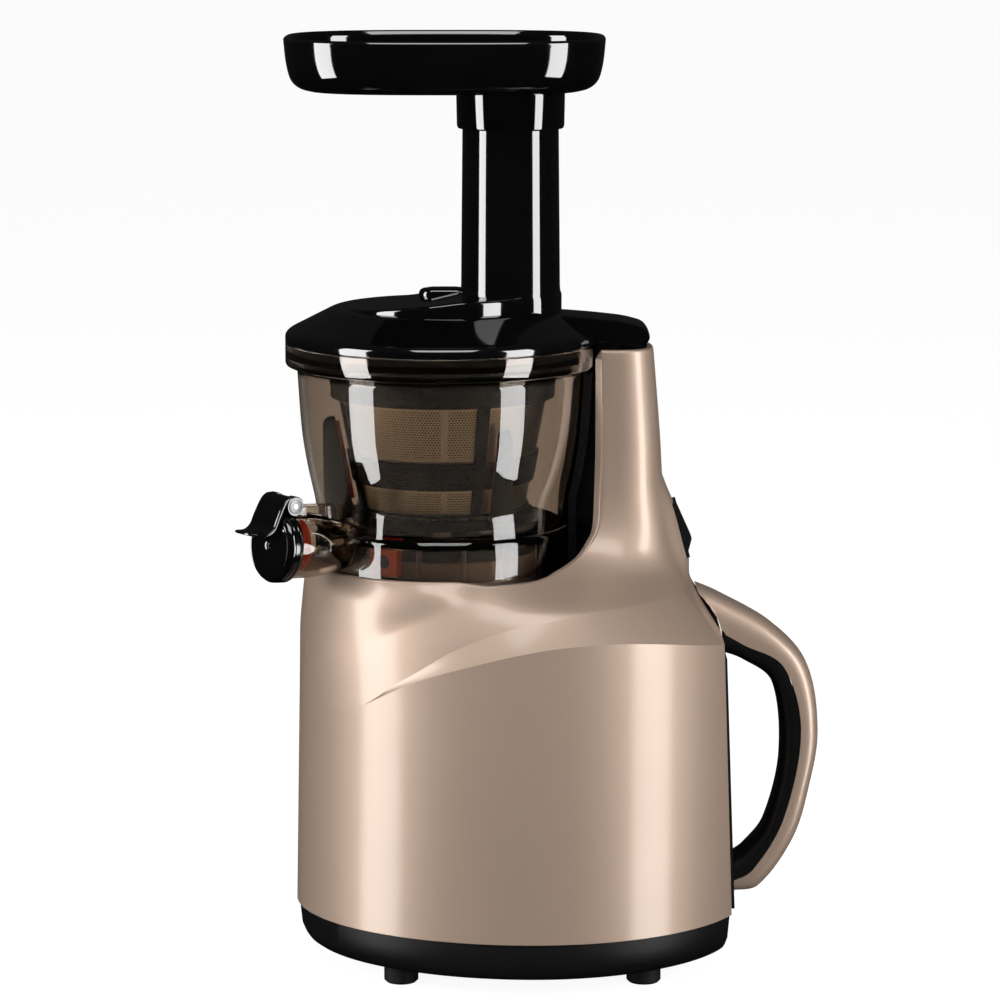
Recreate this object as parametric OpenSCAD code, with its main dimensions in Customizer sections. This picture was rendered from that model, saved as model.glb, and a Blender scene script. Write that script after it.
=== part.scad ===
// Cold press juicer: a slow screw press on a motor base with a tower and a jug handle.
// The bowl axis is the reference line: +Z up, -Y the front with the juice spout, +Y the handle.

/* [Body] */
// Width of the body at its widest
body_w = 168; // [164:1:172]
// Distance from the bowl axis to the front of the body
body_front = 65.8; // [65:0.1:68]
// Distance from the bowl axis to the flat back of the body
body_rear = 127.3; // [126:0.1:130]
// Distance from the bowl axis to the widest place of the body
body_mid = 40; // [38:1:42]
// Length of the rear half of the body's oval plan
body_oval = 96; // [94:1:98]
// Height of the seam between the base cover and the shell
base_z = 25.5; // [24:0.5:27]
// Height of the shell's rim beside the bowl
seat_z = 177; // [176:0.5:179]
// Drop from the lid's seam to the top of the tower
tower_drop = 2; // [1:0.5:3]
// Width of the tower at its top
tower_w = 40; // [38:1:42]
// Distance from the bowl axis to the back of the tower at its top
tower_back = 92.4; // [91.5:0.1:93.5]
// Height of the switch mound above the tower's back
mound_h = 3; // [2:0.5:3.5]
// Wall thickness of the moulded shell
shell_wall = 2.8; // [2.4:0.1:3]

/* [Base] */
// Height of the feet below the base cover
foot_h = 8; // [7:0.5:9]
// Radius of a foot
foot_r = 7.5; // [6:0.5:9]
// Sideways distance of each foot from the middle
foot_x = 50; // [46:1:52]
// Distance of the front feet from the bowl axis, towards the front
foot_front = 18; // [14:1:20]
// Distance of the rear feet from the bowl axis, towards the back
foot_rear = 88; // [82:1:90]
// Thickness of the base plate
base_plate = 3; // [2.5:0.5:4]
// Step of the base cover's skirt inside the shell's outline
base_step = 1.2; // [0.8:0.1:1.6]

/* [Bowl] */
// Outer radius of the bowl's ribbed collar
collar_r = 57; // [56.5:0.1:57.5]
// Height of the collar from the seat to the bowl's floor
collar_h = 17; // [16:0.5:18]
// Outer radius of the bowl at its top
bowl_r = 64; // [63.5:0.1:64.5]
// Outer radius of the bowl's flange
flange_r = 69; // [68.6:0.1:69.4]
// Height of the bowl's flange
flange_h = 10; // [9:0.5:11]
// Height of the bowl from its floor to the top of the flange
bowl_h = 81; // [80.5:0.25:81.5]
// Wall thickness of the bowl
bowl_wall = 2.6; // [2.2:0.1:3]
// Thickness of the bowl's floor
floor_t = 3; // [2.5:0.1:3.2]

/* [Juice spout] */
// Direction of the juice spout, from the front towards the right
spout_angle = 37; // [34:1:40]
// Distance from the bowl axis to the spout's mouth
spout_reach = 88; // [87:0.5:90]
// Outer radius of the spout at its mouth
spout_r = 14.2; // [13.8:0.1:14.6]
// Height of the spout's axis above the collar's foot
spout_up = 16; // [15.5:0.25:16.25]
// Outer radius of the juice spout where it leaves the bowl
spout_neck_r = 9.5; // [9.2:0.1:10]
// Thickness of the juice cap's face
cap_t = 2.4; // [2:0.2:2.8]
// Length of the lever tab in front of the cap
lever_l = 19; // [16:1:20]

/* [Pulp spout] */
// Direction of the pulp spout, from the front towards the left
pulp_angle = 75; // [70:1:80]
// Distance from the bowl axis to the pulp spout's mouth
pulp_reach = 82; // [80:0.5:83]
// Outer radius of the pulp spout
pulp_r = 13; // [12:0.5:14]
// Height of the pulp spout's axis above the collar's foot
pulp_up = 15; // [14.5:0.25:15.5]

/* [Lid and tube] */
// Height of the lid from its seam to its flat plate
lid_h = 15.4; // [14.5:0.1:16]
// Height of the ramp on the plate, where it meets the tube
ramp_h = 6.3; // [5:0.1:7]
// Radius of the lid's flat top
lid_top_r = 46; // [44:1:48]
// Wall thickness of the lid
lid_wall = 2.6; // [2.4:0.1:3]
// Length of the feed tube's section, front to back
tube_l = 43; // [42:0.5:44]
// Width of the feed tube's section
tube_w = 52; // [50:1:54]
// Distance of the tube's middle behind the bowl axis
tube_y = 29.8; // [29:0.2:30.4]
// Height of the tube's mouth above the lid's seam
tube_h = 112; // [110:1:114]
// Wall thickness of the tube
tube_wall = 2.6; // [2.4:0.1:3]

/* [Loading tray] */
// Length of the tray, front to back
tray_l = 140; // [138:1:142]
// Width of the tray
tray_w = 114; // [110:1:118]
// Depth of the tray, from its rim to its lowest outside point
tray_d = 23; // [22:0.5:24]
// Wall thickness of the tray
tray_wall = 2.4; // [2.2:0.1:2.8]
// Length of the tray's socket below the tray
socket_h = 16.5; // [15:0.5:18]

/* [Strainer and screw] */
// Radius of the strainer at its top
strainer_top_r = 46; // [45.5:0.1:46.4]
// Radius of the strainer at its bottom
strainer_bottom_r = 36.5; // [36:0.1:36.8]
// Radius of the screw's core
screw_core_r = 17; // [15:1:19]
// Height of the strainer's rim above the bowl's floor
strainer_rim_up = 70; // [69:0.5:71]
// Thickness of a brush fin
fin_t = 3.4; // [3:0.2:4]
// Width of the screw's blade at its tip
screw_blade = 4; // [3:0.5:5]
// Height of the screw's turned part
screw_h = 52; // [50:1:53]

/* [Handle] */
// Width of the handle
handle_w = 25; // [22:1:28]
// Distance from the flat back to the outside of the handle
handle_reach = 39.5; // [39:0.5:41]

/* [Switch] */
// Width of the rocker switch's frame
switch_w = 17; // [15:0.5:18]
// Length of the rocker switch's frame
switch_l = 25; // [24:0.5:26]
// Thickness of the rocker switch's frame
switch_t = 1.6; // [1.2:0.1:2]

/* [Drive] */
// Tooth module of the first gear stage
gear_m1 = 1; // [0.95:0.05:1.05]
// Tooth module of the second gear stage
gear_m2 = 1.25; // [1.2:0.05:1.3]
// Radius of the drive shaft
shaft_r = 6; // [5.5:0.1:6]
// Outer radius of the motor case
motor_r = 40; // [36:1:42]
// Height of the motor, bracket to bracket
motor_h = 72; // [68:1:75]

/* [Hidden] */
$fn = 64;
gap = 0.3;
run_gap = 0.05;
collar_z = seat_z + 1;
floor_z = collar_z + collar_h;
lid_z = floor_z + bowl_h;
tower_z = lid_z - tower_drop;

// ---- general functions ----
function mix(a, b, t) = a + (b - a) * t;
function clamp01(t) = min(max(t, 0), 1);
function ease(t) = let (s = clamp01(t)) s * s * (3 - 2 * s);
// Slope of a smooth curve through a list of [x, value] pairs, at pair i.
function slope(list, i) =
  let (a = max(i - 1, 0), b = min(i + 1, len(list) - 1))
  (list[b][1] - list[a][1]) / (list[b][0] - list[a][0]);
function span(x, list, i = 0) = (i >= len(list) - 2 || x < list[i + 1][0]) ? i : span(x, list, i + 1);
// Value at x of the smooth curve through a list of [x, value] pairs.
function smooth(x, list) =
  let (i = span(x, list), h = list[i + 1][0] - list[i][0], t = clamp01((x - list[i][0]) / h))
  list[i][1] * (1 + 2 * t) * (1 - t) * (1 - t) + list[i + 1][1] * t * t * (3 - 2 * t)
  + h * slope(list, i) * t * (1 - t) * (1 - t) - h * slope(list, i + 1) * t * t * (1 - t);

// Skin through closed rings of equal point count, capped at both ends or closed on itself.
module skin(rings, closed = false) {
  n = len(rings[0]);
  m = len(rings);
  points = [for (ring = rings) each ring];
  sides = [for (j = [0:(closed ? m - 1 : m - 2)], i = [0:n - 1])
    let (a = j * n, b = ((j + 1) % m) * n, k = (i + 1) % n)
    each [[a + i, b + i, b + k], [a + i, b + k, a + k]]];
  caps = closed ? [] : [[for (i = [0:n - 1]) i], [for (i = [n - 1:-1:0]) (m - 1) * n + i]];
  polyhedron(points, concat(sides, caps), convexity = 8);
}

// ---- places that several parts share ----
axis_shift = (spout_reach * cos(spout_angle) + lever_l * cos(spout_angle) - body_rear - handle_reach) / 2;
module at_axis() {
  translate([0, axis_shift, 0]) children();
}
module at_spout(angle, z) {
  translate([0, 0, z]) rotate([0, 0, angle - 90]) children();
}

// ---- body shell: oval drum, facet and tower in one surface ----
taper_z = seat_z - 58;
tower_mid = tower_back - 16.4;
corner_theta = 158;
shell_cols = 28;
wall_rows = 3;
cove_rows = 10;
oval_end = asin((body_rear - body_mid) / body_oval);
// Share of the full width that is left at a height: along the rim, and along the tower's sides.
rim_share = [[taper_z, 0.985], [seat_z - 41, 0.953], [seat_z - 26, 0.9], [seat_z - 18, 0.855],
  [seat_z - 7, 0.76], [seat_z, 0.66], [seat_z + 9, 0.52]];
tower_share = [[taper_z, 0.985], [seat_z - 41, 0.965], [seat_z - 26, 0.925], [seat_z - 17, 0.87],
  [seat_z - 10, 0.79], [seat_z - 7, 0.72], [seat_z - 3, 0.58], [seat_z + 2, 0.4], [seat_z + 7, 0.275],
  [seat_z + 13, 0.19], [seat_z + 23, 0.12], [seat_z + 38, 0.07], [seat_z + 63, 0.03], [tower_z, 0]];
function section_mid(z) = smooth(z, [[seat_z - 7, body_mid], [seat_z, body_mid + 2], [seat_z + 7, body_mid + 20],
  [seat_z + 15, tower_mid - 4], [seat_z + 27, tower_mid], [tower_z, tower_mid]]);
function section_front(z) = smooth(z, [[base_z, -body_front], [taper_z, -body_front + 1.8],
  [seat_z - 13, -body_front + 2.9], [seat_z - 7, -body_front + 5.4], [seat_z, -body_front + 8],
  [seat_z + 13, -body_front + 36], [tower_z, tower_mid - 46]]);
function section_back(z) = smooth(z, [[taper_z, body_rear - 2.7], [seat_z - 27, body_rear - 5],
  [seat_z - 19, body_rear - 9], [seat_z - 9, tower_back + 17.6], [seat_z - 2, tower_back + 14.1],
  [seat_z + 8, tower_back + 10.1], [seat_z + 27, tower_back + 6.1], [seat_z + 36, tower_back + 4.6],
  [seat_z + 58, tower_back + 3.2], [seat_z + 78, tower_back + 1.6], [tower_z, tower_back]]);
function mound(x, z) = exp(-pow(abs(x) / 13, 4)) * smooth(z, [[seat_z - 12, 0], [seat_z - 2, 0.9],
  [seat_z + 5, mound_h], [seat_z + 18, mound_h], [seat_z + 27, mound_h * 0.8], [seat_z + 38, 0]]);
// Point of the upper surface: theta runs from the front (0) over the right side (90) to the back (180).
function upper(theta, z) =
  let (m = section_mid(z), front = theta < 90, c = cos(theta), n = front ? 1 : 2 / 2.6,
    reach = front ? m - section_front(z) : section_back(z) - m,
    y = m - sign(c) * reach * pow(abs(c), n),
    share = mix(smooth(z, rim_share), smooth(z, tower_share), ease((y - 15) / 45)),
    x = mix(tower_w, body_w, share) / 2 * pow(max(sin(theta), 0), n))
  [x, y + (front ? 0 : mound(x, z)), z];
// Point of the drum's wall: front half-ellipse, rear oval and the flat back.
function drum(theta, z) =
  let (draft = (z - base_z) / 120, half = body_w / 2 - draft, back = body_rear - 4.6 * draft,
    end = asin((back - body_mid) / body_oval), t = (theta - 90) / (corner_theta - 90) * end)
  theta < 90 ? [half * sin(theta), body_mid - (body_mid - section_front(z)) * cos(theta), z]
  : theta <= corner_theta ? [half * cos(t), body_mid + body_oval * sin(t), z]
  : [half * cos(end) * (180 - theta) / (180 - corner_theta), back, z];
// Heights of the two creases that bound the side facet.
lower_crease = [[0, -58], [38, -56], [46, -50.8], [55, -43.3], [66, -35.4], [80.6, -27.6], [91, -23.5],
  [103, -21.6], [116, -21.4], [130, -23.2], [corner_theta, -28.4], [180, -28.4]];
upper_crease = [[0, -58], [38, -56], [46, -50.8], [55, -41], [62, -34], [70, -25.6], [80.5, -18], [91, -13],
  [102.6, -9.7], [120.5, -8.2], [145.8, -6.9], [corner_theta, -7.1], [180, -8.8]];
// Rim of the shell seen from the side, from the front over the cradle and up the tower.
rim_y = [[0, -body_front + 5.4], [0.06, -44], [0.12, -28], [0.22, 0], [0.3, 25], [0.36, 41.6], [0.42, 51.5],
  [0.48, 60], [0.53, 65], [0.57, 68], [0.62, 69], [0.67, 69.5], [0.72, 69.3]];
rim_z = [[0, -7], [0.06, -5], [0.12, -2.8], [0.22, 0.1], [0.3, 0.3], [0.36, 1], [0.42, 3.9], [0.48, 8.6],
  [0.53, 15.1], [0.57, 22.9], [0.62, 41], [0.67, 66], [0.72, tower_z - seat_z]];
crease_theta = [[0, 0], [0.06, 20], [0.12, 38], [0.22, 66], [0.3, 82], [0.36, 91], [0.42, 97], [0.48, 103],
  [0.53, 108], [0.57, 112], [0.62, 117], [0.67, 122], [0.72, 130], [24 / 28, corner_theta], [1, 180]];
// Along the front the rim rises from the drum's crease to a round edge just under the collar.
shoulder_r = collar_r + 1.4;
shoulder_cols = 7;
function shoulder(p) = let (a = atan2(p[0], -p[1])) [shoulder_r * sin(a), -shoulder_r * cos(a), collar_z - 0.4];
function theta_at(y, z) = acos((section_mid(z) - y) / (section_mid(z) - section_front(z)));
function rim_point(u) =
  let (z = seat_z + smooth(min(u, 0.72), rim_z), start = theta_at(smooth(0.72, rim_y), tower_z))
  u <= 0.72 ? [theta_at(smooth(u, rim_y), z), z] : [mix(start, 180, (u - 0.72) / 0.28), tower_z];
// Point of the shell in column u (0 front, 1 back) and row j.
function shell_point(u, j) =
  let (theta = smooth(u, crease_theta), low = seat_z + smooth(theta, lower_crease),
    high = seat_z + smooth(theta, upper_crease), rim = rim_point(u),
    v = (j - wall_rows) / cove_rows, w = pow(v, 1.6))
  j < wall_rows ? drum(theta, mix(base_z, low, j / (wall_rows - 1)))
  : (j == shell_rows && u * shell_cols < shoulder_cols + 0.5) ? shoulder(upper(rim[0], rim[1]))
  : upper(mix(theta, rim[0], w), mix(high, rim[1], w));
shell_rows = wall_rows + cove_rows;
shell_grid = [for (j = [0:shell_rows]) [for (i = [0:shell_cols]) shell_point(i / shell_cols, j)]];
function unit(v) = v / max(norm(v), 0.0001);
// Outward direction at a grid point, kept level along the bottom and the rim.
function shell_normal(j, i) =
  let (g = shell_grid, a = min(i + 1, shell_cols), b = max(i - 1, 0), c = min(j + 1, shell_rows), d = max(j - 1, 0),
    along = (i == 0) ? [1, 0, 0] : (i == shell_cols) ? [-1, 0, 0] : g[j][a] - g[j][b],
    n = cross(along, g[c][i] - g[d][i]))
  (j == 0 || j == shell_rows) ? unit([n[0], n[1], 0]) : unit(n);
shell_inner = [for (j = [0:shell_rows]) [for (i = [0:shell_cols])
  let (n = shell_normal(j, i), p = shell_grid[j][i] - shell_wall * n)
  [(i == 0 || i == shell_cols) ? 0 : max(p[0], 0.5), p[1], p[2]]]];
// A closed ring from a half ring by mirroring it to the left side.
function whole(half) = concat(half, [for (i = [len(half) - 2:-1:1]) [-half[i][0], half[i][1], half[i][2]]]);

// ---- levels that several parts share ----
well_z = seat_z - 8.5;
flange_z = lid_z - flange_h;
spout_z = collar_z + spout_up;
pulp_z = collar_z + pulp_up;
tray_z = lid_z + tube_h - 2;
tube_top = tray_z - gap;
tray_top = tray_z + tray_d;
rear_flat_w = body_w * cos(oval_end);
black = [0.05, 0.05, 0.052];
steel = [0.66, 0.66, 0.68];
brass = [0.75, 0.6, 0.3];

// ---- black cradle: well floor, pedestal below the bowl, concave wall and top of the tower ----
pedestal_r = 45;
shaft_clear = 10;
wall_t = 2.2;
first_col = 8;
last_col = 21;
function rim_in(i) = let (p = shell_inner[shell_rows][i]) [max(p[0] - 0.4, 0), p[1] + (i == shell_cols ? -0.4 : 0), p[2]];
// Arc through a rim point about the bowl axis, from the left side to the right.
function cross_arc(p, back, drop, n = 16) =
  let (r = norm([p[0], p[1]]), half = atan2(p[0], p[1]))
  [for (k = [0:n]) let (s = (back ? 1 - 2 * k / n : 2 * k / n - 1) * half)
    [r * sin(s), r * cos(s) + (back ? wall_t : 0), p[2] - drop]];
// Edge of the well's floor where it meets the inside of the shell.
function well_edge(i) =
  let (a = shell_inner[shell_rows - 1][i], b = shell_inner[shell_rows][i], p = mix(a, b, clamp01((well_z - a[2]) / (b[2] - a[2]))))
  [max(p[0] - 0.5, 0), p[1] + (i == 0 ? 0.5 : 0.2)];
// The wall swells towards the bowl into a saddle that follows the bowl's side.
saddle_gap = 2.2;
saddle_share = [[well_z, 0], [floor_z + 1, 0.2], [floor_z + 5, 1], [floor_z + 56, 1], [flange_z, 0], [tower_z, 0]];
function saddle(p) =
  let (r = norm([p[0], p[1]]), q = min(r, bowl_outer(p[2]) + saddle_gap) / r, k = clamp01((19.5 - abs(p[0])) / 4))
  [p[0] * mix(1, q, k * smooth(p[2], saddle_share)), p[1] * mix(1, q, k * smooth(p[2], saddle_share)), p[2]];
function wall_ring(i, z) =
  let (q = rim_in(i), p = [q[0], q[1], z], drop = i < 14 ? 2 : i < 17 ? 1 : 0) 
  concat([for (c = cross_arc(p, false, 0)) saddle(c)], cross_arc(p, true, drop));
module cradle() {
  floor_half = [for (i = [0:first_col]) i < first_col ? well_edge(i) : [rim_in(i)[0], rim_in(i)[1] + 0.2]];
  back_arc = [for (p = cross_arc(rim_in(first_col), true, 0)) [p[0] * 0.995, p[1] - 0.9]];
  top_half = [for (i = [last_col:shell_cols]) let (p = rim_in(i)) [p[0], p[1] + (i == last_col ? 0.7 : 0)]];
  top_arc = [for (k = [1:15]) let (p = cross_arc(rim_in(last_col), false, 0)[k]) [p[0], p[1] + 0.8]];
  color(black) at_axis() difference() {
    union() {
      translate([0, 0, well_z - 3]) linear_extrude(height = 3)
        polygon(concat([for (i = [first_col:-1:1]) [-floor_half[i][0], floor_half[i][1]]], floor_half, back_arc));
      translate([0, 0, well_z - 3]) cylinder(r = pedestal_r, h = floor_z - floor_t - gap - well_z + 3, $fn = 96);
      skin(concat([wall_ring(first_col, well_z - 3 + 2)], [for (i = [first_col:last_col]) wall_ring(i, min(rim_in(i)[2], tower_z - 0.6))]));
      translate([0, 0, tower_z - 3]) linear_extrude(height = 2.2)
        polygon(concat(top_arc, top_half, [for (i = [shell_cols - 1:-1:last_col]) [-rim_in(i)[0], rim_in(i)[1] + (i == last_col ? 0.7 : 0)]]));
    }
    translate([0, 0, well_z - 4]) cylinder(r = shaft_clear, h = 40);
    translate([0, 0, well_z - 4]) cylinder(r = pedestal_r - 4, h = floor_z - floor_t - well_z - 1, $fn = 96);
  }
}

// ---- gears ----
function inv_angle(a) = tan(a) * 180 / PI - a;
// Spur gear outline with involute flanks and a little backlash.
function gear_outline(n, m, slack = 0.12, tip = 1, root = 1.25) =
  let (rp = n * m / 2, rb = rp * cos(20), half = 90 / n - slack / rp * 90 / PI + inv_angle(20))
  [for (k = [0:n - 1], s = [-1, 1], q = [0:3])
    let (t = s < 0 ? q / 3 : 1 - q / 3, r = mix(rp - root * m, rp + tip * m, t), rr = max(r, rb),
      w = half - inv_angle(acos(rb / rr)), a = k * 360 / n + s * w)
    [r * cos(a), r * sin(a)]];
module gear(n, m, h, turn = 0, slack = 0.12, tip = 1, root = 1.25) {
  rotate([0, 0, turn]) linear_extrude(height = h) polygon(gear_outline(n, m, slack, tip, root));
}
module housing() {
  color([0.72, 0.6, 0.52]) at_axis() difference() {
    skin(concat([for (row = shell_grid) whole(row)], [for (j = [shell_rows:-1:0]) whole(shell_inner[j])]), true);
    at_switch() translate([-switch_w / 2 + 1.2, -switch_l / 2 + 1.2, -12]) cube([switch_w - 2.4, switch_l - 2.4, 20]);
    at_inlet() translate([0, 0, -8]) cylinder(r = 5.3, h = 16, $fn = 48);
    screw_bore(screw_r + 0.1, -30, 4);
  }
}
// ---- base cover, feet, rear panel ----
function drum_ring(z, inset) = let (k = 1 - inset / (body_w / 2))
  whole([for (i = [0:shell_cols]) let (p = drum(smooth(i / shell_cols, crease_theta), base_z))
    [p[0] * k, body_mid + (p[1] - body_mid) * k, z]]);
foot_places = [for (x = [-1, 1], y = [-foot_front, foot_rear]) [x * foot_x, y]];
plate_z = foot_h;
module base_cover() {
  color([0.05, 0.05, 0.052]) at_axis() difference() {
    skin([drum_ring(plate_z, base_step + 6), drum_ring(plate_z + 1.2, base_step + 4), drum_ring(plate_z + 4, base_step + 2.4),
      drum_ring(base_z - gap, base_step)]);
    translate([0, 0, 0]) skin([drum_ring(plate_z + base_plate, base_step + 8), drum_ring(base_z + 1, base_step + 3.4)]);
    for (p = foot_places) translate([p[0], p[1], 0]) cylinder(r = 2.2, h = 40, $fn = 32);
    for (i = [-5:5], s = [-1, 1]) translate([i * 6 - 1.5, body_mid + s * 22 - 14, 0]) cube([3, 28, 20]);
  }
}
module feet() {
  color([0.03, 0.03, 0.03]) at_axis() for (p = foot_places) translate([p[0], p[1], 0]) {
    cylinder(r1 = foot_r - 1, r2 = foot_r, h = 1);
    translate([0, 0, 1]) cylinder(r = foot_r, h = foot_h - 1);
    cylinder(r = 2.15, h = plate_z + base_plate - 0.2, $fn = 32);
  }
}
rear_tilt = atan(4.6 / 120);
module on_back(z) {
  translate([0, body_rear - (z - base_z) * 4.6 / 120, z]) rotate([rear_tilt, 0, 0]) children();
}
inlet_x = -25;
inlet_up = 12;
module at_inlet() {
  translate([inlet_x, 0, 0]) on_back(base_z + inlet_up) rotate([-90, 0, 0]) children();
}
panel_h = seat_z - 28.4 - base_z - 11;
module rear_panel() {
  color(black) at_axis() difference() {
    on_back(base_z + 2.5) translate([-rear_flat_w / 2 + 1.2, 0.05, 0]) cube([rear_flat_w - 2.4, 1.4, panel_h]);
    on_back(base_z + 2.5) for (i = [0:5], s = [-1, 1]) translate([s * 23 - 6, -1, 30 + i * 6]) cube([12, 4, 2.4]);
    at_inlet() translate([0, 0, -8]) cylinder(r = 5.5, h = 16, $fn = 48);
    screw_bore(screw_r + 0.1, -30, 4);
  }
}
module cord_bush() {
  color([0.04, 0.04, 0.04]) at_axis() at_inlet() difference() {
    union() {
      translate([0, 0, 0.1]) cylinder(r = 5.2, h = 2.6);
      translate([0, 0, 1.6]) cylinder(r = 7, h = 1.6);
    }
    translate([0, 0, -1]) cylinder(r = 3.2, h = 6);
  }
}

// ---- handle: outer shell and inner grip swept along three curves ----
handle_outer = [[0, -0.4, 142.5], [0.05, -0.16, 138.5], [0.17, 0.44, 125], [0.31, 0.863, 106.5], [0.48, 0.997, 76.8],
  [0.635, 0.904, 50.7], [0.78, 0.729, 27.3], [0.93, 0.339, 5.6], [1, 0.036, 3.4]];
handle_seam = [[0, -0.21, 124.5], [0.1, 0.127, 116.9], [0.28, 0.592, 106.5], [0.47, 0.792, 77.8],
  [0.71, 0.613, 38.3], [0.9, 0.27, 14.5], [1, 0.036, 9]];
handle_inner = [[0, -0.16, 113], [0.1, 0.129, 109], [0.26, 0.471, 98.3], [0.53, 0.567, 64.7], [0.76, 0.397, 34.7],
  [0.88, 0.185, 23.6], [1, 0.036, 19]];
function curve_point(list, t) =
  [body_rear + handle_reach * smooth(t, [for (p = list) [p[0], p[1]]]), base_z + smooth(t, [for (p = list) [p[0], p[2]]])];
function signed_pow(v, n) = sign(v) * pow(abs(v), n);
// Half-round section from the flat side a to the crown b, with the given width.
function half_round(a, b, width, n = 10) = [for (i = [0:n]) let (t = 180 * i / n, k = pow(sin(t), 0.6))
  [width / 2 * signed_pow(cos(t), 0.6), mix(a[0], b[0], k), mix(a[1], b[1], k)]];
function back_face(z) = z > seat_z - 28.4 ? section_back(z) + 0.4 : body_rear - (z - base_z) * 4.6 / 120 + 1.75;
function handle_ring(t, flat_side, crown, width, lift) =
  let (b = curve_point(crown, t), c = curve_point(flat_side, t), a = c + (b - c) / max(norm(b - c), 1) * lift)
  [for (p = half_round(a, b, width)) [p[0], max(p[1], back_face(p[2])), p[2]]];
handle_rows = 24;
screw_r = 1.6;
handle_screws_at = [[seat_z - 21, -7, 9], [base_z + 14.5, -5, 8]];
module screw_bore(r, from = -12, to = 30) {
  for (s = handle_screws_at) translate([0, body_rear + from, s[0]]) rotate([-90, 0, 0]) cylinder(r = r, h = to - from, $fn = 32);
}
module handle_shell() {
  color([0.72, 0.6, 0.52]) at_axis() difference() {
    skin([for (i = [handle_rows:-1:0]) handle_ring(i / handle_rows, handle_seam, handle_outer, handle_w, 0)]);
    screw_bore(screw_r + 0.05, -30, 9);
  }
}
module handle_grip() {
  color(black) at_axis() difference() {
    skin([for (i = [0:handle_rows]) handle_ring(i / handle_rows, handle_seam, handle_inner, handle_w - 1, gap)]);
    screw_bore(screw_r + 0.05, -30, 8);
  }
}
module handle_screws() {
  color(steel) at_axis() for (s = handle_screws_at) translate([0, 0, s[0]]) rotate([-90, 0, 0]) {
    translate([0, 0, body_rear + s[1] - 8]) cylinder(r = screw_r, h = 12 + s[2] - 3);
    translate([0, 0, body_rear + s[1] - 11]) cylinder(r = 3, h = 3);
  }
}

// ---- switch ----
switch_tilt = 14.3;
module at_switch() {
  translate([0, tower_back + 11.7, seat_z + 15.5]) rotate([switch_tilt - 90, 0, 0]) children();
}
module switch_bezel() {
  color([0.04, 0.04, 0.04]) at_axis() at_switch() difference() {
    translate([-switch_w / 2, -switch_l / 2, 0.3]) cube([switch_w, switch_l, switch_t]);
    translate([-switch_w / 2 + 1.5, -switch_l / 2 + 1.5, -1]) cube([switch_w - 3, switch_l - 3, 4]);
  }
}
module switch_rocker() {
  color([0.03, 0.03, 0.035]) at_axis() at_switch() rotate([90, 0, 90])
    linear_extrude(height = switch_w - 3.8, center = true)
      polygon([[-switch_l / 2 + 2.2, 0.6], [switch_l / 2 - 2.2, 0.6], [switch_l / 2 - 2.4, 1.8],
        [switch_l / 5, 4.6], [-switch_l / 2 + 2, 1.9]]);
}

// ---- bowl with juice spout, pulp spout and ribbed collar ----
function bowl_outer(z) = smooth(z, [[floor_z - 4, collar_r - 1.5], [floor_z + 9, bowl_r - 8],
  [floor_z + 26, bowl_r - 4.5], [floor_z + 42, bowl_r - 2], [flange_z, bowl_r]]);
function bowl_inner(z) = bowl_outer(z) - bowl_wall;
step_z = lid_z - 6;
step_r = flange_r - 2.4;
hub_r = 9;
pin_r = 1.2;
peg_r = 2.6;
spout_root = pedestal_r + 1.5;
cap_hinge_at = spout_reach - 3.4;
cap_hinge_z = spout_z + spout_r + 3.6;
cap_face_at = spout_reach + 2.2;
module bowl_body() {
  rotate_extrude($fn = 96) polygon(concat([[0, collar_z], [collar_r, collar_z], [collar_r, floor_z - 1]],
    [for (i = [0:8]) let (z = mix(floor_z + 1, flange_z - 1.5, i / 8)) [bowl_outer(z), z]],
    [[flange_r - 1.5, flange_z], [flange_r, flange_z + 1.5], [flange_r, lid_z], [0, lid_z]]));
}
module bowl_cavity() {
  rotate_extrude($fn = 96) polygon(concat([[0, floor_z], [bowl_inner(floor_z + 4) - 4, floor_z], [bowl_inner(floor_z + 4) - 1, floor_z + 1.4]],
    [for (i = [0:6]) let (z = mix(floor_z + 4, flange_z - 3, i / 6)) [bowl_inner(z), z]],
    [[bowl_inner(flange_z) + 0.4, step_z], [step_r, step_z], [step_r, lid_z + 1], [0, lid_z + 1]]));
}
module spout_cone(r_mouth, r_root, root, reach) {
  translate([root, 0, 0]) rotate([0, 90, 0]) cylinder(r1 = r_root, r2 = r_mouth, h = reach - root);
}
module across(z, h, r) {
  translate([cap_hinge_at, 0, z]) rotate([90, 0, 0]) cylinder(r = r, h = h, center = true, $fn = 48);
}
module juice_spout_body() {
  at_spout(spout_angle, spout_z) spout_cone(spout_r, spout_neck_r - 1.5, spout_root, spout_reach);
}
module pulp_spout_body() {
  at_spout(-pulp_angle, pulp_z) spout_cone(pulp_r, pulp_r, spout_root, pulp_reach);
}
module spout_bores() {
  at_spout(spout_angle, spout_z)
    spout_cone(spout_r - bowl_wall, spout_neck_r - 1.5 - bowl_wall, spout_root + bowl_wall, spout_reach + 1);
  at_spout(-pulp_angle, pulp_z)
    spout_cone(pulp_r - bowl_wall, pulp_r - bowl_wall, spout_root + bowl_wall, pulp_reach + 1);
}
module bowl() {
  color([0.4, 0.33, 0.27, 0.5]) at_axis() difference() {
    union() {
      difference() {
        bowl_body();
        translate([0, 0, collar_z - 1]) cylinder(r = collar_r - 2.4, h = collar_h - floor_t + 1, $fn = 96);
      }
      for (k = [0:17]) rotate([0, 0, k * 20 + 10])
        translate([collar_r - 3.6, -1, collar_z]) cube([2, 2, collar_h - 1]);
      intersection() {
        bowl_body();
        union() {
          juice_spout_body();
          pulp_spout_body();
        }
      }
    }
    bowl_cavity();
    spout_bores();
    translate([0, 0, floor_z - floor_t - 1]) cylinder(r = hub_r, h = floor_t + 2);
    for (a = idler_angles) rotate([0, 0, a]) translate([idler_at, 0, floor_z - 1.5]) cylinder(r = peg_r, h = 3, $fn = 48);
  }
}
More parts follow.
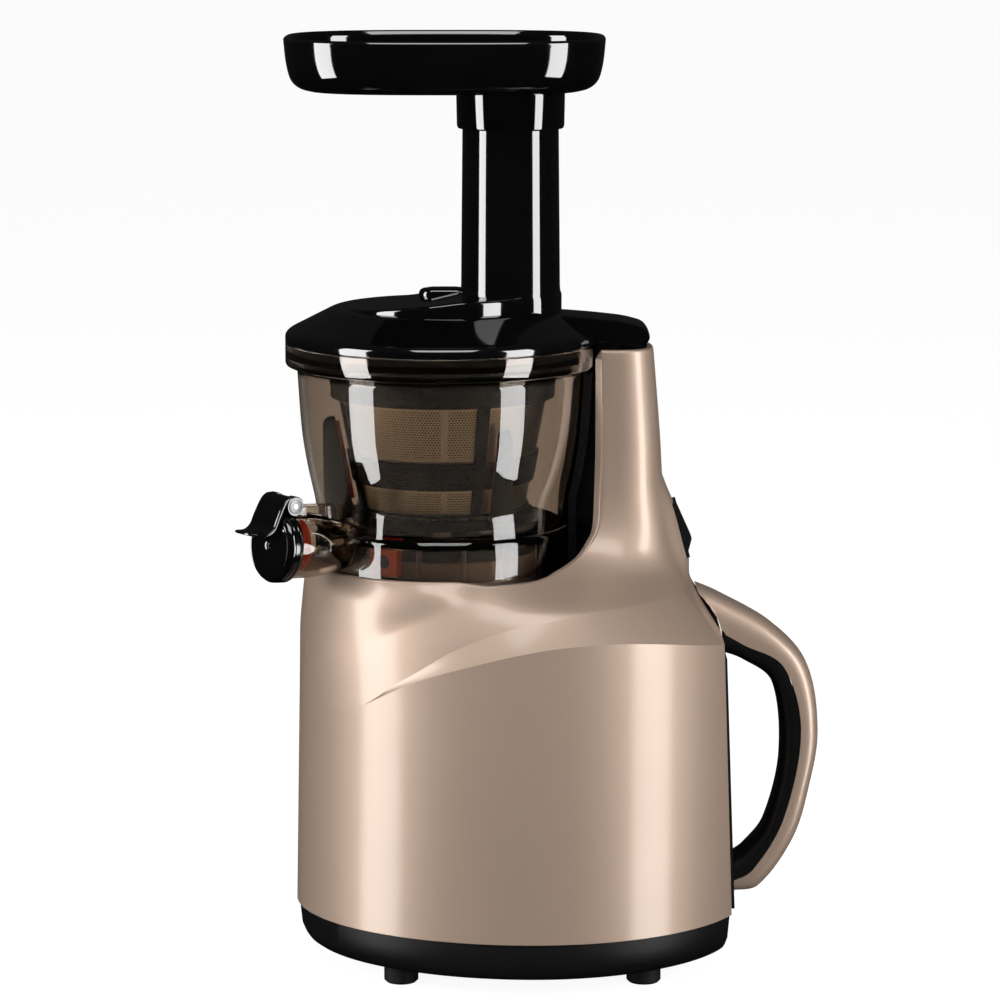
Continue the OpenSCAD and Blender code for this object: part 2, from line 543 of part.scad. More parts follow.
// Juice spout outside the bowl's wall, with two webs on top that run out to the hinge ears.
web_w = 2;
web_y = 3.5;
web_top = spout_r + 1;
module juice_spout() {
  color([0.4, 0.33, 0.27, 0.5]) at_axis() difference() {
    union() {
      juice_spout_body();
      at_spout(spout_angle, 0) for (s = [-1, 1]) translate([0, s * web_y, 0]) {
        across(cap_hinge_z, web_w, 2.6);
        translate([spout_root, -web_w / 2, spout_z + spout_neck_r - 3])
          cube([cap_hinge_at - spout_root - 1.5, web_w, web_top - spout_neck_r + 3]);
        translate([cap_hinge_at - 2.6, -web_w / 2, spout_z + spout_r - 1.5])
          cube([3.4, web_w, cap_hinge_z - spout_z - spout_r + 1.5]);
      }
    }
    bowl_body();
    spout_bores();
    at_spout(spout_angle, 0) across(cap_hinge_z, 12, pin_r + run_gap);
  }
}
module pulp_spout() {
  color([0.4, 0.33, 0.27, 0.5]) at_axis() difference() {
    pulp_spout_body();
    bowl_body();
    spout_bores();
  }
}
module hinge_pin() {
  color([0.6, 0.6, 0.6]) at_axis() at_spout(spout_angle, cap_hinge_z) translate([cap_hinge_at, 0, 0])
    rotate([90, 0, 0]) cylinder(r = pin_r, h = 19.4, center = true, $fn = 32);
}
module juice_cap() {
  color([0.04, 0.04, 0.045]) at_axis() at_spout(spout_angle, 0) difference() {
    union() {
      translate([cap_face_at, 0, spout_z]) rotate([0, 90, 0]) cylinder(r = spout_r + 0.6, h = cap_t);
      translate([spout_reach - 3, 0, spout_z]) rotate([0, 90, 0]) difference() {
        cylinder(r = spout_r + 1.8, h = 5.4);
        translate([0, 0, -1]) cylinder(r = spout_r + 0.35, h = 6.2);
      }
      for (s = [-1, 1]) translate([cap_hinge_at, s * 7.2, cap_hinge_z]) rotate([90, 0, 0]) cylinder(r = 3.4, h = 4.6, center = true);
      for (s = [-1, 1]) translate([cap_hinge_at - 0.4, s * 7.2 - 2.3, spout_z + spout_r - 0.4])
        cube([5.2, 4.6, 3.6]);
      lever_tab();
    }
    translate([cap_hinge_at, 0, cap_hinge_z]) rotate([90, 0, 0]) cylinder(r = pin_r + run_gap, h = 30, center = true, $fn = 32);
    translate([cap_face_at - 6, -4.9, spout_z + spout_r - 4]) cube([6.2, 9.8, 12]);
  }
}
// Curved tab from the hinge down over the face and out to its tip.
function tab_x(t) = cap_hinge_at + smooth(t, [[0, 1], [0.25, 6], [0.5, 9.5], [0.75, 14.5], [1, lever_l + 3.4]]);
function tab_z(t) = spout_z + smooth(t, [[0, 18.5], [0.25, 17], [0.5, 10.5], [0.75, 7.2], [1, 8.6]]);
function tab_half(t) = smooth(t, [[0, 9.4], [0.3, 9.6], [0.6, 9], [0.85, 7.6], [1, 5.5]]);
module lever_tab() {
  skin([for (i = [0:12]) let (t = i / 12, x = tab_x(t), z = tab_z(t), w = tab_half(t), k = mix(2.4, 1.1, t))
    [[x, w, z - k], [x + 0.6 * k, w, z + k], [x + 0.6 * k, -w, z + k], [x, -w, z - k]]]);
}
module cap_seal() {
  color([0.85, 0.2, 0.06]) at_axis() at_spout(spout_angle, spout_z) translate([spout_reach + 0.4, 0, 0]) rotate([0, 90, 0]) difference() {
    cylinder(r = spout_r - 0.5, h = 1.5);
    translate([0, 0, -1]) cylinder(r = spout_r - 3.4, h = 4);
  }
}
plug_angle = spout_angle + 25;
plug_in = collar_r - 9.2;
plug_w = 5.2;
module pulp_plug() {
  color([0.75, 0.14, 0.05]) at_axis() at_spout(plug_angle, 0) translate([0, 0, collar_z + 1.5]) difference() {
    rotate([0, 0, -7]) rotate_extrude(angle = 14, $fn = 96) translate([plug_in, 0]) square([plug_w, collar_h - floor_t - 2.5]);
    translate([plug_in - 4, 0, 6]) rotate([0, 90, 0]) cylinder(r = 3, h = 14, $fn = 32);
  }
}
module plug_peg() {
  color([0.3, 0.18, 0.12]) at_axis() at_spout(plug_angle, collar_z + 7.5) translate([plug_in - 0.5, 0, 0])
    rotate([0, 90, 0]) cylinder(r = 2.95, h = plug_w, $fn = 32);
}
module bowl_gasket() {
  color([0.8, 0.8, 0.78]) at_axis() translate([0, 0, floor_z - floor_t]) difference() {
    cylinder(r = hub_r - 0.02, h = floor_t);
    translate([0, 0, -1]) cylinder(r = shaft_r + run_gap, h = floor_t + 2);
  }
}

auger_teeth = 24;
idler_teeth = 21;
ring_teeth = auger_teeth + 2 * idler_teeth;
cage_m = 1;
idler_at = (auger_teeth + idler_teeth) * cage_m / 2;
idler_angles = [0, 180];
gear_z = floor_z + 2;
gear_t = 4.4;
strainer_z = floor_z + 7.8;
rim_z_low = floor_z + strainer_rim_up;
rim_plate = 3.5;
strainer_top_z = rim_z_low - 11.6;

// ---- strainer, brush cage, screw ----
mesh_t = 0.8;
plate_t = 2;
mesh_z = strainer_z + plate_t;
function strainer_r(z) = mix(strainer_bottom_r, strainer_top_r, (z - mesh_z) / (strainer_top_z - mesh_z));
module strainer_mesh() {
  color([0.7, 0.62, 0.48]) at_axis() rotate_extrude($fn = 96) polygon([[strainer_bottom_r - mesh_t, mesh_z], [strainer_bottom_r, mesh_z],
    [strainer_top_r, strainer_top_z], [strainer_top_r - mesh_t, strainer_top_z]]);
}
rest_r = bowl_inner(rim_z_low + 1) - 0.4;
band_t = 1.4;
rib_t = 1.7;
band_z = [mesh_z + 10.8, mesh_z + 23];
hoop_z = strainer_top_z - 1;
hoop_r = strainer_top_r + 3.3;
rib_angle = 6.5;
// Profile of a layer that reaches the given thickness outside the mesh, between two heights; its inside is cut away later.
function layer(z0, z1, t) = [[strainer_r(z0) - 1.5, z0], [strainer_r(z0) + t, z0],
  [strainer_r(z1) + t, z1], [strainer_r(z1) - 1.5, z1]];
module strainer_frame() {
  color(black) at_axis() difference() {
    union() {
      rotate_extrude($fn = 96) polygon([[neck_r + 0.3, strainer_z], [strainer_bottom_r - 1, strainer_z],
        [strainer_bottom_r + band_t, strainer_z + 1], [strainer_bottom_r + band_t, mesh_z], [neck_r + 0.3, mesh_z]]);
      rotate_extrude($fn = 96) polygon(layer(band_z[0], band_z[1], band_t));
      rotate_extrude($fn = 96) polygon([[strainer_top_r - mesh_t, hoop_z], [hoop_r, hoop_z], [hoop_r, rim_z_low],
        [rest_r, rim_z_low], [rest_r, rim_z_low + rim_plate], [strainer_top_r - mesh_t, rim_z_low + rim_plate]]);
      for (k = [0:3]) rotate([0, 0, k * 90 + 23 - rib_angle / 2]) rotate_extrude(angle = rib_angle, $fn = 96)
        polygon(layer(mesh_z - 0.4, hoop_z + 0.5, rib_t));
    }
    rotate_extrude($fn = 96) polygon([[0, mesh_z], [strainer_bottom_r + 0.01, mesh_z],
      [strainer_top_r + 0.01, strainer_top_z], [0, strainer_top_z]]);
    rotate([0, 0, 20]) rotate_extrude(angle = 40, $fn = 96) translate([neck_r + 6, strainer_z - 1]) square([8, 4]);
  }
}
neck_r = 11;
auger_foot = floor_z + 1;
screw_z = mesh_z + 0.6;
screw_top = screw_z + screw_h;
hex_r = 5.8;
function blade_r(z) = strainer_r(z) - mesh_t - 0.7;
module auger() {
  color([0.16, 0.16, 0.17]) at_axis() difference() {
    union() {
      rotate_extrude() polygon([[0, auger_foot], [neck_r - 0.6, auger_foot], [neck_r - 0.6, gear_z + gear_t], [neck_r, gear_z + gear_t],
        [neck_r, screw_z], [strainer_bottom_r - 4, screw_z], [strainer_bottom_r - 5, screw_z + 2], [screw_core_r + 4, screw_z + 12],
        [screw_core_r, screw_top - 10], [screw_core_r - 6, screw_top], [0, screw_top]]);
      for (turn = [0, 180]) rotate([0, 0, turn]) screw_blade_body();
      translate([0, 0, gear_z]) gear(auger_teeth, cage_m, gear_t);
      translate([0, 0, screw_top - 1]) cylinder(r = top_pin_r, h = top_pin_h + 1);
    }
    translate([0, 0, auger_foot - 1]) cylinder(r = shaft_r + 0.3, h = hex_z - auger_foot + 1);
    translate([0, 0, hex_z - 0.5]) cylinder(r = hex_r + 0.15, h = hex_h + 1.5, $fn = 6);
  }
}
top_pin_r = 5;
top_pin_h = 12;
hex_z = floor_z + 4;
hex_h = 16;
// Blade: four-cornered sections carried up a helix of one turn.
module screw_blade_body() {
  n = 36;
  skin([for (i = [0:n]) let (t = i / n, z = mix(screw_z + screw_blade / 2 + 1, screw_top - 4, t), a = 360 * t, w = mix(screw_blade / 2, 1, 0.6 * t))
    [for (c = [[screw_core_r - 8, w + 1], [blade_r(z) , w], [blade_r(z), -w], [screw_core_r - 8, -w - 1]])
      [c[0] * cos(a), c[0] * sin(a), z + c[1]]]]);
}
cage_r = 40;
fin_angles = [-87, 33, 153];
fin_low = floor_z + 11;
fin_top = floor_z + 48;
fin_round = 4;
wiper_h = 1.6;
wiper_t = 1.8;
fin_r = bowl_inner(fin_low) - 0.9;
// Inner edge of a fin, clear of the strainer's bands by the wiper, and its outer edge.
function fin_in(z) = strainer_r(z) + rib_t + 0.3 + wiper_h;
function fin_out(z) = max(fin_r, fin_in(z) + 3);
module upright(a, t) {
  rotate([0, 0, a]) rotate([90, 0, 0]) linear_extrude(height = t, center = true) children();
}
module brush_cage() {
  color(black) at_axis() {
    difference() {
      translate([0, 0, gear_z]) cylinder(r = cage_r, h = gear_t + 0.4, $fn = 96);
      translate([0, 0, gear_z - 1]) gear(ring_teeth, cage_m, gear_t + 3, 0, -0.12, 1.25, 1);
    }
    for (a = fin_angles) upright(a, fin_t)
      polygon(concat([[cage_r - 2, gear_z + 0.5], [cage_r + 8, gear_z + 2.5], [fin_out(fin_low) - 1, fin_low - 2],
        [fin_out(fin_low), fin_low]],
        [for (k = [0:15:90]) [fin_out(fin_top) - fin_round * (1 - cos(k)), fin_top - fin_round * (1 - sin(k))]],
        [[fin_in(fin_top), fin_top], [fin_in(mesh_z), mesh_z], [cage_r - 2, gear_z + gear_t]]));
  }
}
// Silicone wiper along the inner edge of each fin.
module wipers() {
  color([0.75, 0.2, 0.08]) at_axis() for (a = fin_angles) upright(a, wiper_t)
    polygon([[fin_in(mesh_z + 2) - wiper_h, mesh_z + 2], [fin_in(mesh_z + 2) - 0.01, mesh_z + 2],
      [fin_in(fin_top - 2) - 0.01, fin_top - 2], [fin_in(fin_top - 2) - wiper_h, fin_top - 2]]);
}
module idler(n) {
  color([0.85, 0.85, 0.82]) at_axis() rotate([0, 0, idler_angles[n]]) translate([idler_at, 0, gear_z]) difference() {
    gear(idler_teeth, cage_m, gear_t, 180 - 180 / idler_teeth);
    translate([0, 0, -1]) cylinder(r = peg_r + run_gap, h = gear_t + 2, $fn = 48);
  }
}
module idler_pegs() {
  color(steel) at_axis() for (a = idler_angles) rotate([0, 0, a]) translate([idler_at, 0, floor_z - 1.5]) {
    cylinder(r = peg_r - 0.01, h = gear_z + gear_t + 0.8 - floor_z + 1.5, $fn = 48);
    translate([0, 0, 1.5]) cylinder(r = peg_r + 1.4, h = gear_z - floor_z - 0.3);
  }
}

// ---- lid with feed tube ----
function oval(l, w, n = 2.4) = [for (k = [0:59]) let (a = k * 6) [w / 2 * signed_pow(cos(a), 2 / n), l / 2 * signed_pow(sin(a), 2 / n)]];
module tube_section(grow) {
  translate([0, tube_y]) polygon(oval(tube_l + 2 * grow, tube_w + 2 * grow));
}
lid_top = lid_z + lid_h;
lid_foot = lid_z + gap;
skirt_r = step_r - 0.3;
module lid() {
  color(black) at_axis() difference() {
    union() {
      rotate_extrude($fn = 96) polygon([[0, lid_z - 2], [skirt_r - 2.4, lid_z - 2], [skirt_r - 2.4, lid_z - 3.4], [skirt_r, lid_z - 3.4], [skirt_r, lid_foot], [flange_r, lid_foot], [flange_r, lid_z + 3.2],
        [flange_r - 1.4, lid_z + 5], [lid_top_r + 2.5, lid_top - 0.6], [lid_top_r, lid_top], [0, lid_top]]);
      translate([0, 0, lid_z]) linear_extrude(height = tube_top - lid_z) tube_section(0);
      rotate([90, 0, 90]) linear_extrude(height = 30, center = true)
        polygon([[lid_top_r - 6, lid_z + 4], [lid_top_r, lid_top - 1.8], [flange_r - 7, lid_top - 3],
          [tower_back - 12.4, lid_top - 5.2], [tower_back - 4, lid_z + 7.4], [tower_back - 1.2, lid_z + 2.8],
          [tower_back - 3, tower_z + 1.3], [tower_back - 20.4, tower_z + 1.3], [tower_back - 20.4, lid_z + 4]]);
      intersection() {
        translate([0, 0, lid_top - 2]) cylinder(r = ramp_r, h = ramp_h + 10, $fn = 96);
        rotate([90, 0, 90]) translate([0, 0, -12]) linear_extrude(height = 12 + ramp_r)
          polygon([[-ramp_r, lid_top - 1], [-ramp_r, lid_top], [tube_y - tube_l / 2, lid_top + ramp_h], [ramp_r, lid_top + ramp_h], [ramp_r, lid_top - 1]]);
      }
      translate([-2, knob_y, lid_top - 1]) cylinder(r = knob_r, h = ramp_h + 1.6);
      translate([-2 - knob_r, knob_y, lid_top - 1]) cube([2 * knob_r, tube_y - tube_l / 2 - knob_y + 3, ramp_h + 1.6]);
    }
    difference() {
      rotate_extrude($fn = 96) polygon([[0, lid_z - 5], [skirt_r - 2.4, lid_z - 5], [skirt_r - 2.4, lid_z + 3.2],
        [lid_top_r + 1, lid_top - lid_wall - 0.6], [lid_top_r - 1, lid_top - lid_wall], [0, lid_top - lid_wall]]);
      translate([0, 0, bush_z]) cylinder(r = bush_r + 2.4, h = 40);
      translate([0, 0, lid_z]) linear_extrude(height = 30) tube_section(0);
    }
    translate([0, 0, lid_z - 10]) linear_extrude(height = tube_h + 20) tube_section(-tube_wall);
    translate([0, 0, bush_z - 1]) cylinder(r = bush_r, h = bush_h + 1);
  }
}
knob_y = -4.5;
knob_r = 6;
ramp_r = 44.5;
bush_r = 7.4;
bush_z = screw_top + 1;
bush_h = 13;
module lid_bush() {
  color([0.8, 0.78, 0.72]) at_axis() translate([0, 0, bush_z]) difference() {
    cylinder(r = bush_r - 0.02, h = bush_h - 0.3);
    translate([0, 0, -1]) cylinder(r = top_pin_r + run_gap, h = top_pin_h + 1.4);
  }
}
module lid_seal() {
  color([0.8, 0.2, 0.07]) at_axis() rotate_extrude($fn = 96)
    polygon([[skirt_r - 2.6, step_z + 0.1], [skirt_r + 0.1, step_z + 0.1], [skirt_r + 0.1, lid_z - 3.45], [skirt_r - 2.6, lid_z - 3.45]]);
}

// ---- loading tray ----
tray_mid = tube_y - 28.5;
tray_profile = [[11, 0], [7.4, 1], [4.4, 3.2], [2.6, 6.5], [1.2, 13], [0.3, tray_d - 1], [0.3, tray_d]];
function tray_ring(inset, z, n = 3) = [for (k = [0:63]) let (a = k * 360 / 64)
  [(tray_w / 2 - inset) * signed_pow(cos(a), 2 / n), tray_mid + (tray_l / 2 - inset) * signed_pow(sin(a), 2 / n), tray_z + z]];
module tray() {
  color(black) at_axis() difference() {
    union() {
      skin([for (p = tray_profile) tray_ring(p[0], p[1])]);
      translate([0, 0, tray_z - socket_h]) linear_extrude(height = socket_h + 1) tube_section(socket_gap + 2);
    }
    skin(concat([for (p = tray_profile) tray_ring(p[0] + tray_wall, p[1] + tray_wall)], [tray_ring(0.3 + tray_wall, tray_d + tray_wall + 1)]));
    translate([0, 0, tray_z - socket_h - 1]) linear_extrude(height = socket_h + 1) tube_section(socket_gap);
    translate([0, 0, tray_z - 2]) linear_extrude(height = 12) tube_section(-tube_wall);
  }
}
socket_gap = 0.2;

// ---- motor and gearbox ----
wheel1_teeth = 54;
wheel2_teeth = 60;
pinion_teeth = 18;
stage1 = (pinion_teeth + wheel1_teeth) * gear_m1 / 2;
stage2 = (pinion_teeth + wheel2_teeth) * gear_m2 / 2;
mid_y = stage2;
motor_y = stage2 - stage1;
box_z = base_z + 88;
box_h = 36;
box_wall = 3;
wheel1_z = box_z + 6;
wheel2_z = box_z + 18;
wheel_t = 9;
motor_shaft_r = 4;
motor_top = box_z - gap;
motor_z = motor_top - motor_h;
rotor_r = 25;
bearing_h = 6;
out_r = wheel2_teeth * gear_m2 / 2 + gear_m2 + 1.2;
in_r = wheel1_teeth * gear_m1 / 2 + gear_m1 + 1.2;
module box_outline(grow) {
  circle(r = out_r + grow, $fn = 96);
  translate([0, mid_y]) circle(r = in_r + grow, $fn = 96);
  translate([-in_r - grow, 0]) square([2 * (in_r + grow), mid_y]);
}
lug_at = [for (s = [-1, 1]) [s * (out_r + box_wall + 3), 0], for (s = [-1, 1]) [s * (in_r + box_wall + 3), mid_y]];
module lug_columns(r, z, h) {
  for (p = lug_at) translate([p[0], p[1], z]) cylinder(r = r, h = h, $fn = 48);
}
module gearbox_case() {
  color(steel) at_axis() difference() {
    union() {
      translate([0, 0, box_z]) linear_extrude(height = box_h - 3) box_outline(box_wall);
      lug_columns(5, box_z, box_h - 3);
    }
    translate([0, 0, box_z + 3]) linear_extrude(height = box_h) box_outline(0);
    translate([0, motor_y, box_z - 1]) cylinder(r = bearing_r + 1, h = 5);
    translate([0, mid_y, box_z + 0.6]) cylinder(r = bush_out, h = 4, $fn = 48);
    lug_columns(2, box_z - 1, box_h);
  }
}
bearing_r = 9;
bush_out = 7;
mid_r = 4;
module gearbox_cover() {
  color(steel) at_axis() difference() {
    union() {
      translate([0, 0, box_z + box_h - 3]) linear_extrude(height = 4) box_outline(box_wall);
      lug_columns(5, box_z + box_h - 3, 4);
      translate([0, 0, box_z + box_h]) cylinder(r = 20, h = 9);
    }
    translate([0, 0, box_z + box_h - 4]) cylinder(r = 12, h = 20);
    translate([0, mid_y, box_z + box_h - 4]) cylinder(r = bush_out, h = 3, $fn = 48);
    lug_columns(2, box_z + box_h - 4, 8);
  }
}
module case_screws() {
  color(steel) at_axis() {
    lug_columns(1.9, box_z + 8, box_h - 6.8);
    lug_columns(3.6, box_z + box_h + 1.2, 3);
  }
}
module ring(z, r_out, r_in, h, y = 0) {
  translate([0, y, z]) difference() {
    cylinder(r = r_out, h = h);
    translate([0, 0, -1]) cylinder(r = r_in, h = h + 2);
  }
}
module output_bearing() {
  color(brass) at_axis() ring(box_z + box_h - 2.8, 11.98, shaft_r + run_gap, 11);
}
module mid_bushes() {
  color(brass) at_axis() {
    ring(box_z + 0.65, bush_out - 0.02, mid_r + run_gap, 4.4, mid_y);
    ring(box_z + box_h - 4.2, bush_out - 0.02, mid_r + run_gap, 3.1, mid_y);
  }
}
module shaft_seal() {
  color(black) at_axis() ring(well_z - 3, shaft_clear - 0.02, shaft_r + run_gap, floor_z - floor_t - well_z + 2.4);
}
module motor_pinion() {
  color(steel) at_axis() translate([0, motor_y, wheel1_z - 0.5]) difference() {
    gear(pinion_teeth, gear_m1, wheel_t, 90 - 4 * 360 / pinion_teeth);
    translate([0, 0, -1]) cylinder(r = motor_shaft_r + 0.01, h = wheel_t + 2, $fn = 48);
  }
}
module first_wheel() {
  color([0.8, 0.8, 0.76]) at_axis() translate([0, mid_y, wheel1_z]) difference() {
    gear(wheel1_teeth, gear_m1, wheel_t - 1);
    translate([0, 0, -1]) cylinder(r = mid_r - 0.01, h = wheel_t + 2, $fn = 48);
    for (k = [0:5]) rotate([0, 0, k * 60]) translate([15.5, 0, -1]) cylinder(r = 4.5, h = wheel_t + 2, $fn = 48);
  }
}
module mid_shaft() {
  color(steel) at_axis() translate([0, mid_y, 0]) {
    translate([0, 0, box_z + 0.9]) cylinder(r = mid_r, h = box_h - 2.2, $fn = 48);
    translate([0, 0, wheel2_z - 1]) gear(pinion_teeth, gear_m2, wheel_t + 1, 270 - 13.5 * 360 / pinion_teeth);
  }
}
module second_wheel() {
  color([0.8, 0.8, 0.76]) at_axis() translate([0, 0, wheel2_z]) difference() {
    gear(wheel2_teeth, gear_m2, wheel_t);
    translate([0, 0, -1]) cylinder(r = shaft_r - 0.01, h = wheel_t + 2);
    for (k = [0:5]) rotate([0, 0, k * 60 + 30]) translate([21, 0, -1]) cylinder(r = 6, h = wheel_t + 2, $fn = 48);
  }
}
module drive_shaft() {
  color(steel) at_axis() {
    translate([0, 0, wheel2_z - 3]) cylinder(r = shaft_r, h = hex_z - wheel2_z + 2);
    translate([0, 0, hex_z - 1.5]) cylinder(r = hex_r, h = hex_h + 1.2, $fn = 6);
  }
}

module motor_case() {
  color([0.55, 0.55, 0.56]) at_axis() difference() {
    ring(motor_z + 8, motor_r, motor_r - 2, motor_h - 16, motor_y);
    for (k = [0:7]) translate([0, motor_y, motor_top - 26]) rotate([0, 0, k * 45]) translate([motor_r - 4, -5, 0]) cube([8, 10, 12]);
  }
}
module bracket(z, up) {
  translate([0, motor_y, z]) difference() {
    union() {
      cylinder(r = motor_r, h = 3, $fn = 96);
      translate([0, 0, up > 0 ? 0 : -bearing_h + 3]) cylinder(r = bearing_r + 3, h = bearing_h);
    }
    translate([0, 0, -bearing_h]) cylinder(r = bearing_r, h = 3 * bearing_h, $fn = 48);
    for (k = [0:5]) rotate([0, 0, k * 60]) translate([24, 0, -1]) cylinder(r = 6, h = 6, $fn = 48);
  }
}
module motor_brackets() {
  color(steel) at_axis() {
    bracket(motor_top - 3, -1);
    bracket(motor_z + 4.7, 1);
    for (z = [motor_top - 7.9, motor_z + 7.8]) ring(z, motor_r - 2.05, motor_r - 6, z > motor_z + 20 ? 5 : 4, motor_y);
  }
}
module motor_bearings() {
  color(steel) at_axis() {
    ring(motor_top - 5.9, bearing_r - 0.02, motor_shaft_r + 0.02, 5.6, motor_y);
    ring(motor_z + 4.9, bearing_r - 0.02, motor_shaft_r + 0.02, 5.6, motor_y);
  }
}
module stator() {
  color([0.45, 0.3, 0.22]) at_axis() translate([0, motor_y, motor_z + 18]) difference() {
    cylinder(r = motor_r - 2.02, h = 30, $fn = 96);
    translate([0, 0, -1]) cylinder(r = rotor_r + 0.8, h = 32, $fn = 96);
    for (k = [0:3]) rotate([0, 0, k * 90 + 45]) translate([rotor_r + 4, -6, -1]) cube([6, 12, 32]);
  }
}
module rotor() {
  color([0.5, 0.45, 0.4]) at_axis() translate([0, motor_y, 0]) {
    translate([0, 0, motor_z + 2]) cylinder(r = motor_shaft_r, h = wheel1_z + wheel_t - motor_z - 2.6, $fn = 48);
    translate([0, 0, motor_z + 18]) difference() {
      cylinder(r = rotor_r, h = 30, $fn = 96);
      for (k = [0:11]) rotate([0, 0, k * 30]) translate([rotor_r - 5, -0.8, -1]) cube([8, 1.6, 32]);
    }
    translate([0, 0, motor_z + 12]) cylinder(r = 12, h = 5);
  }
}
module fan() {
  color([0.2, 0.2, 0.22]) at_axis() translate([0, motor_y, motor_top - 22]) difference() {
    union() {
      cylinder(r = 10, h = 9);
      cylinder(r = 31, h = 1.6, $fn = 96);
      for (k = [0:8]) rotate([0, 0, k * 40]) translate([8, -0.8, 0]) cube([22, 1.6, 9]);
    }
    translate([0, 0, -1]) cylinder(r = motor_shaft_r - 0.01, h = 12, $fn = 48);
  }
}
module motor_mount() {
  color(black) at_axis() difference() {
    ring(plate_z + base_plate + 0.1, 22, 15, motor_z + 1.6 - plate_z - base_plate - 0.1 + 3, motor_y);
  }
}
board_y = body_rear - 22;
module control_board() {
  color([0.1, 0.35, 0.18]) at_axis() translate([0, board_y, 0]) difference() {
    union() {
      translate([-28, 0, plate_z + base_plate + 0.2]) cube([56, 1.6, 50]);
      translate([-20, -12, plate_z + 20]) cube([14, 12.5, 12]);
      translate([8, -14, plate_z + 24]) cube([16, 14.5, 18]);
      for (x = [-4, 3.5]) translate([x, 0.5, plate_z + 44]) rotate([90, 0, 0]) cylinder(r = 3, h = 12, $fn = 32);
    }
  }
}
module interlock() {
  color([0.25, 0.25, 0.27]) at_axis() translate([-7, tower_mid - 1, tower_z - 15.5]) {
    cube([14, 10, 12]);
    translate([5.5, 3.5, 11.5]) cube([3, 3, 0.9]);
  }
}

// ---- parts ----
housing();
cradle();
base_cover();
feet();
rear_panel();
cord_bush();
handle_shell();
handle_grip();
handle_screws();
switch_bezel();
switch_rocker();
bowl();
juice_spout();
pulp_spout();
hinge_pin();
juice_cap();
cap_seal();
pulp_plug();
plug_peg();
bowl_gasket();
idler_pegs();
strainer_mesh();
strainer_frame();
auger();
brush_cage();
wipers();
idler(0);  // idler_a
idler(1);  // idler_b
lid();
lid_bush();
lid_seal();
tray();
gearbox_case();
gearbox_cover();
case_screws();
output_bearing();
mid_bushes();
shaft_seal();
motor_pinion();
first_wheel();
mid_shaft();
second_wheel();
drive_shaft();
motor_case();
motor_brackets();
motor_bearings();
stator();
rotor();
fan();
motor_mount();
control_board();
interlock();
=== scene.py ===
"""Cold press juicer, dressed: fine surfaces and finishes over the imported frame."""
import bpy
import math
import numpy as np
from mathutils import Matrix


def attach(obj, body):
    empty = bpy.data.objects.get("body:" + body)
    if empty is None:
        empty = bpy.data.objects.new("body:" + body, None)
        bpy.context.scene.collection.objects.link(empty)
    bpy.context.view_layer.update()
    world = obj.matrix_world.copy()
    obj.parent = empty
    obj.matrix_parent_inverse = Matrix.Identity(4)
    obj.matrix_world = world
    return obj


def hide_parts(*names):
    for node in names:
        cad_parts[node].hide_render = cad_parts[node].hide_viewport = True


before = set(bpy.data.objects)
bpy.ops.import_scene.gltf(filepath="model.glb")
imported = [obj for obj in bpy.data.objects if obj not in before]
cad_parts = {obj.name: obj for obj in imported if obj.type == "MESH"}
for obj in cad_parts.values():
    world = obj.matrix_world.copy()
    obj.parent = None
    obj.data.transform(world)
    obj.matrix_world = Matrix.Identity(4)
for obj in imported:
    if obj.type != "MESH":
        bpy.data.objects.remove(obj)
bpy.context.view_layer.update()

# ---------------------------------------------------------------- measures, in millimetres
# Shapes are made about the bowl's axis, which SHIFT moves to its place in the frame. The front is -y, and
# directions are degrees from it, positive towards +x.
SPOUT_ANGLE, SPOUT_REACH, LEVER = 37.0, 88.0, 19.0
BODY_REAR, HANDLE_REACH = 127.3, 39.5
SHIFT = (SPOUT_REACH + LEVER) * math.cos(math.radians(SPOUT_ANGLE)) / 2 - (BODY_REAR + HANDLE_REACH) / 2
BODY_W, BODY_FRONT, BODY_MID, BODY_OVAL = 168.0, 65.8, 40.0, 96.0
BASE_Z, SEAT_Z, TOWER_Z, TOWER_W, TOWER_BACK, MOUND_H = 25.5, 177.0, 274.0, 40.0, 92.4, 3.0
FOOT_H = 8.0
COLLAR_Z, FLOOR_Z = SEAT_Z + 1, SEAT_Z + 18
LID_Z = FLOOR_Z + 81
FLANGE_Z = LID_Z - 10
COLLAR_R, BOWL_R, FLANGE_R, BOWL_WALL, FLOOR_T = 57.0, 64.0, 69.0, 2.6, 3.0
SPOUT_Z, SPOUT_R = COLLAR_Z + 16, 14.2
PULP_Z, PULP_R, PULP_ANGLE, PULP_REACH = COLLAR_Z + 15, 13.0, 75.0, 82.0
LID_H, RAMP_H, LID_TOP_R, RAMP_R = 15.4, 6.3, 46.0, 44.5
LID_TOP = LID_Z + LID_H
TUBE_L, TUBE_W, TUBE_Y, TUBE_WALL = 43.0, 52.0, 29.8, 2.6
TRAY_L, TRAY_W, TRAY_D, TRAY_WALL, SOCKET_H = 140.0, 114.0, 23.0, 2.4, 16.5
TRAY_Z = LID_Z + 110
TUBE_TOP = TRAY_Z - 0.3
TRAY_Y = TUBE_Y - 28.5
HANDLE_W = 25.0
BEVEL_STEPS, BEVEL_ANGLE = 3, 40


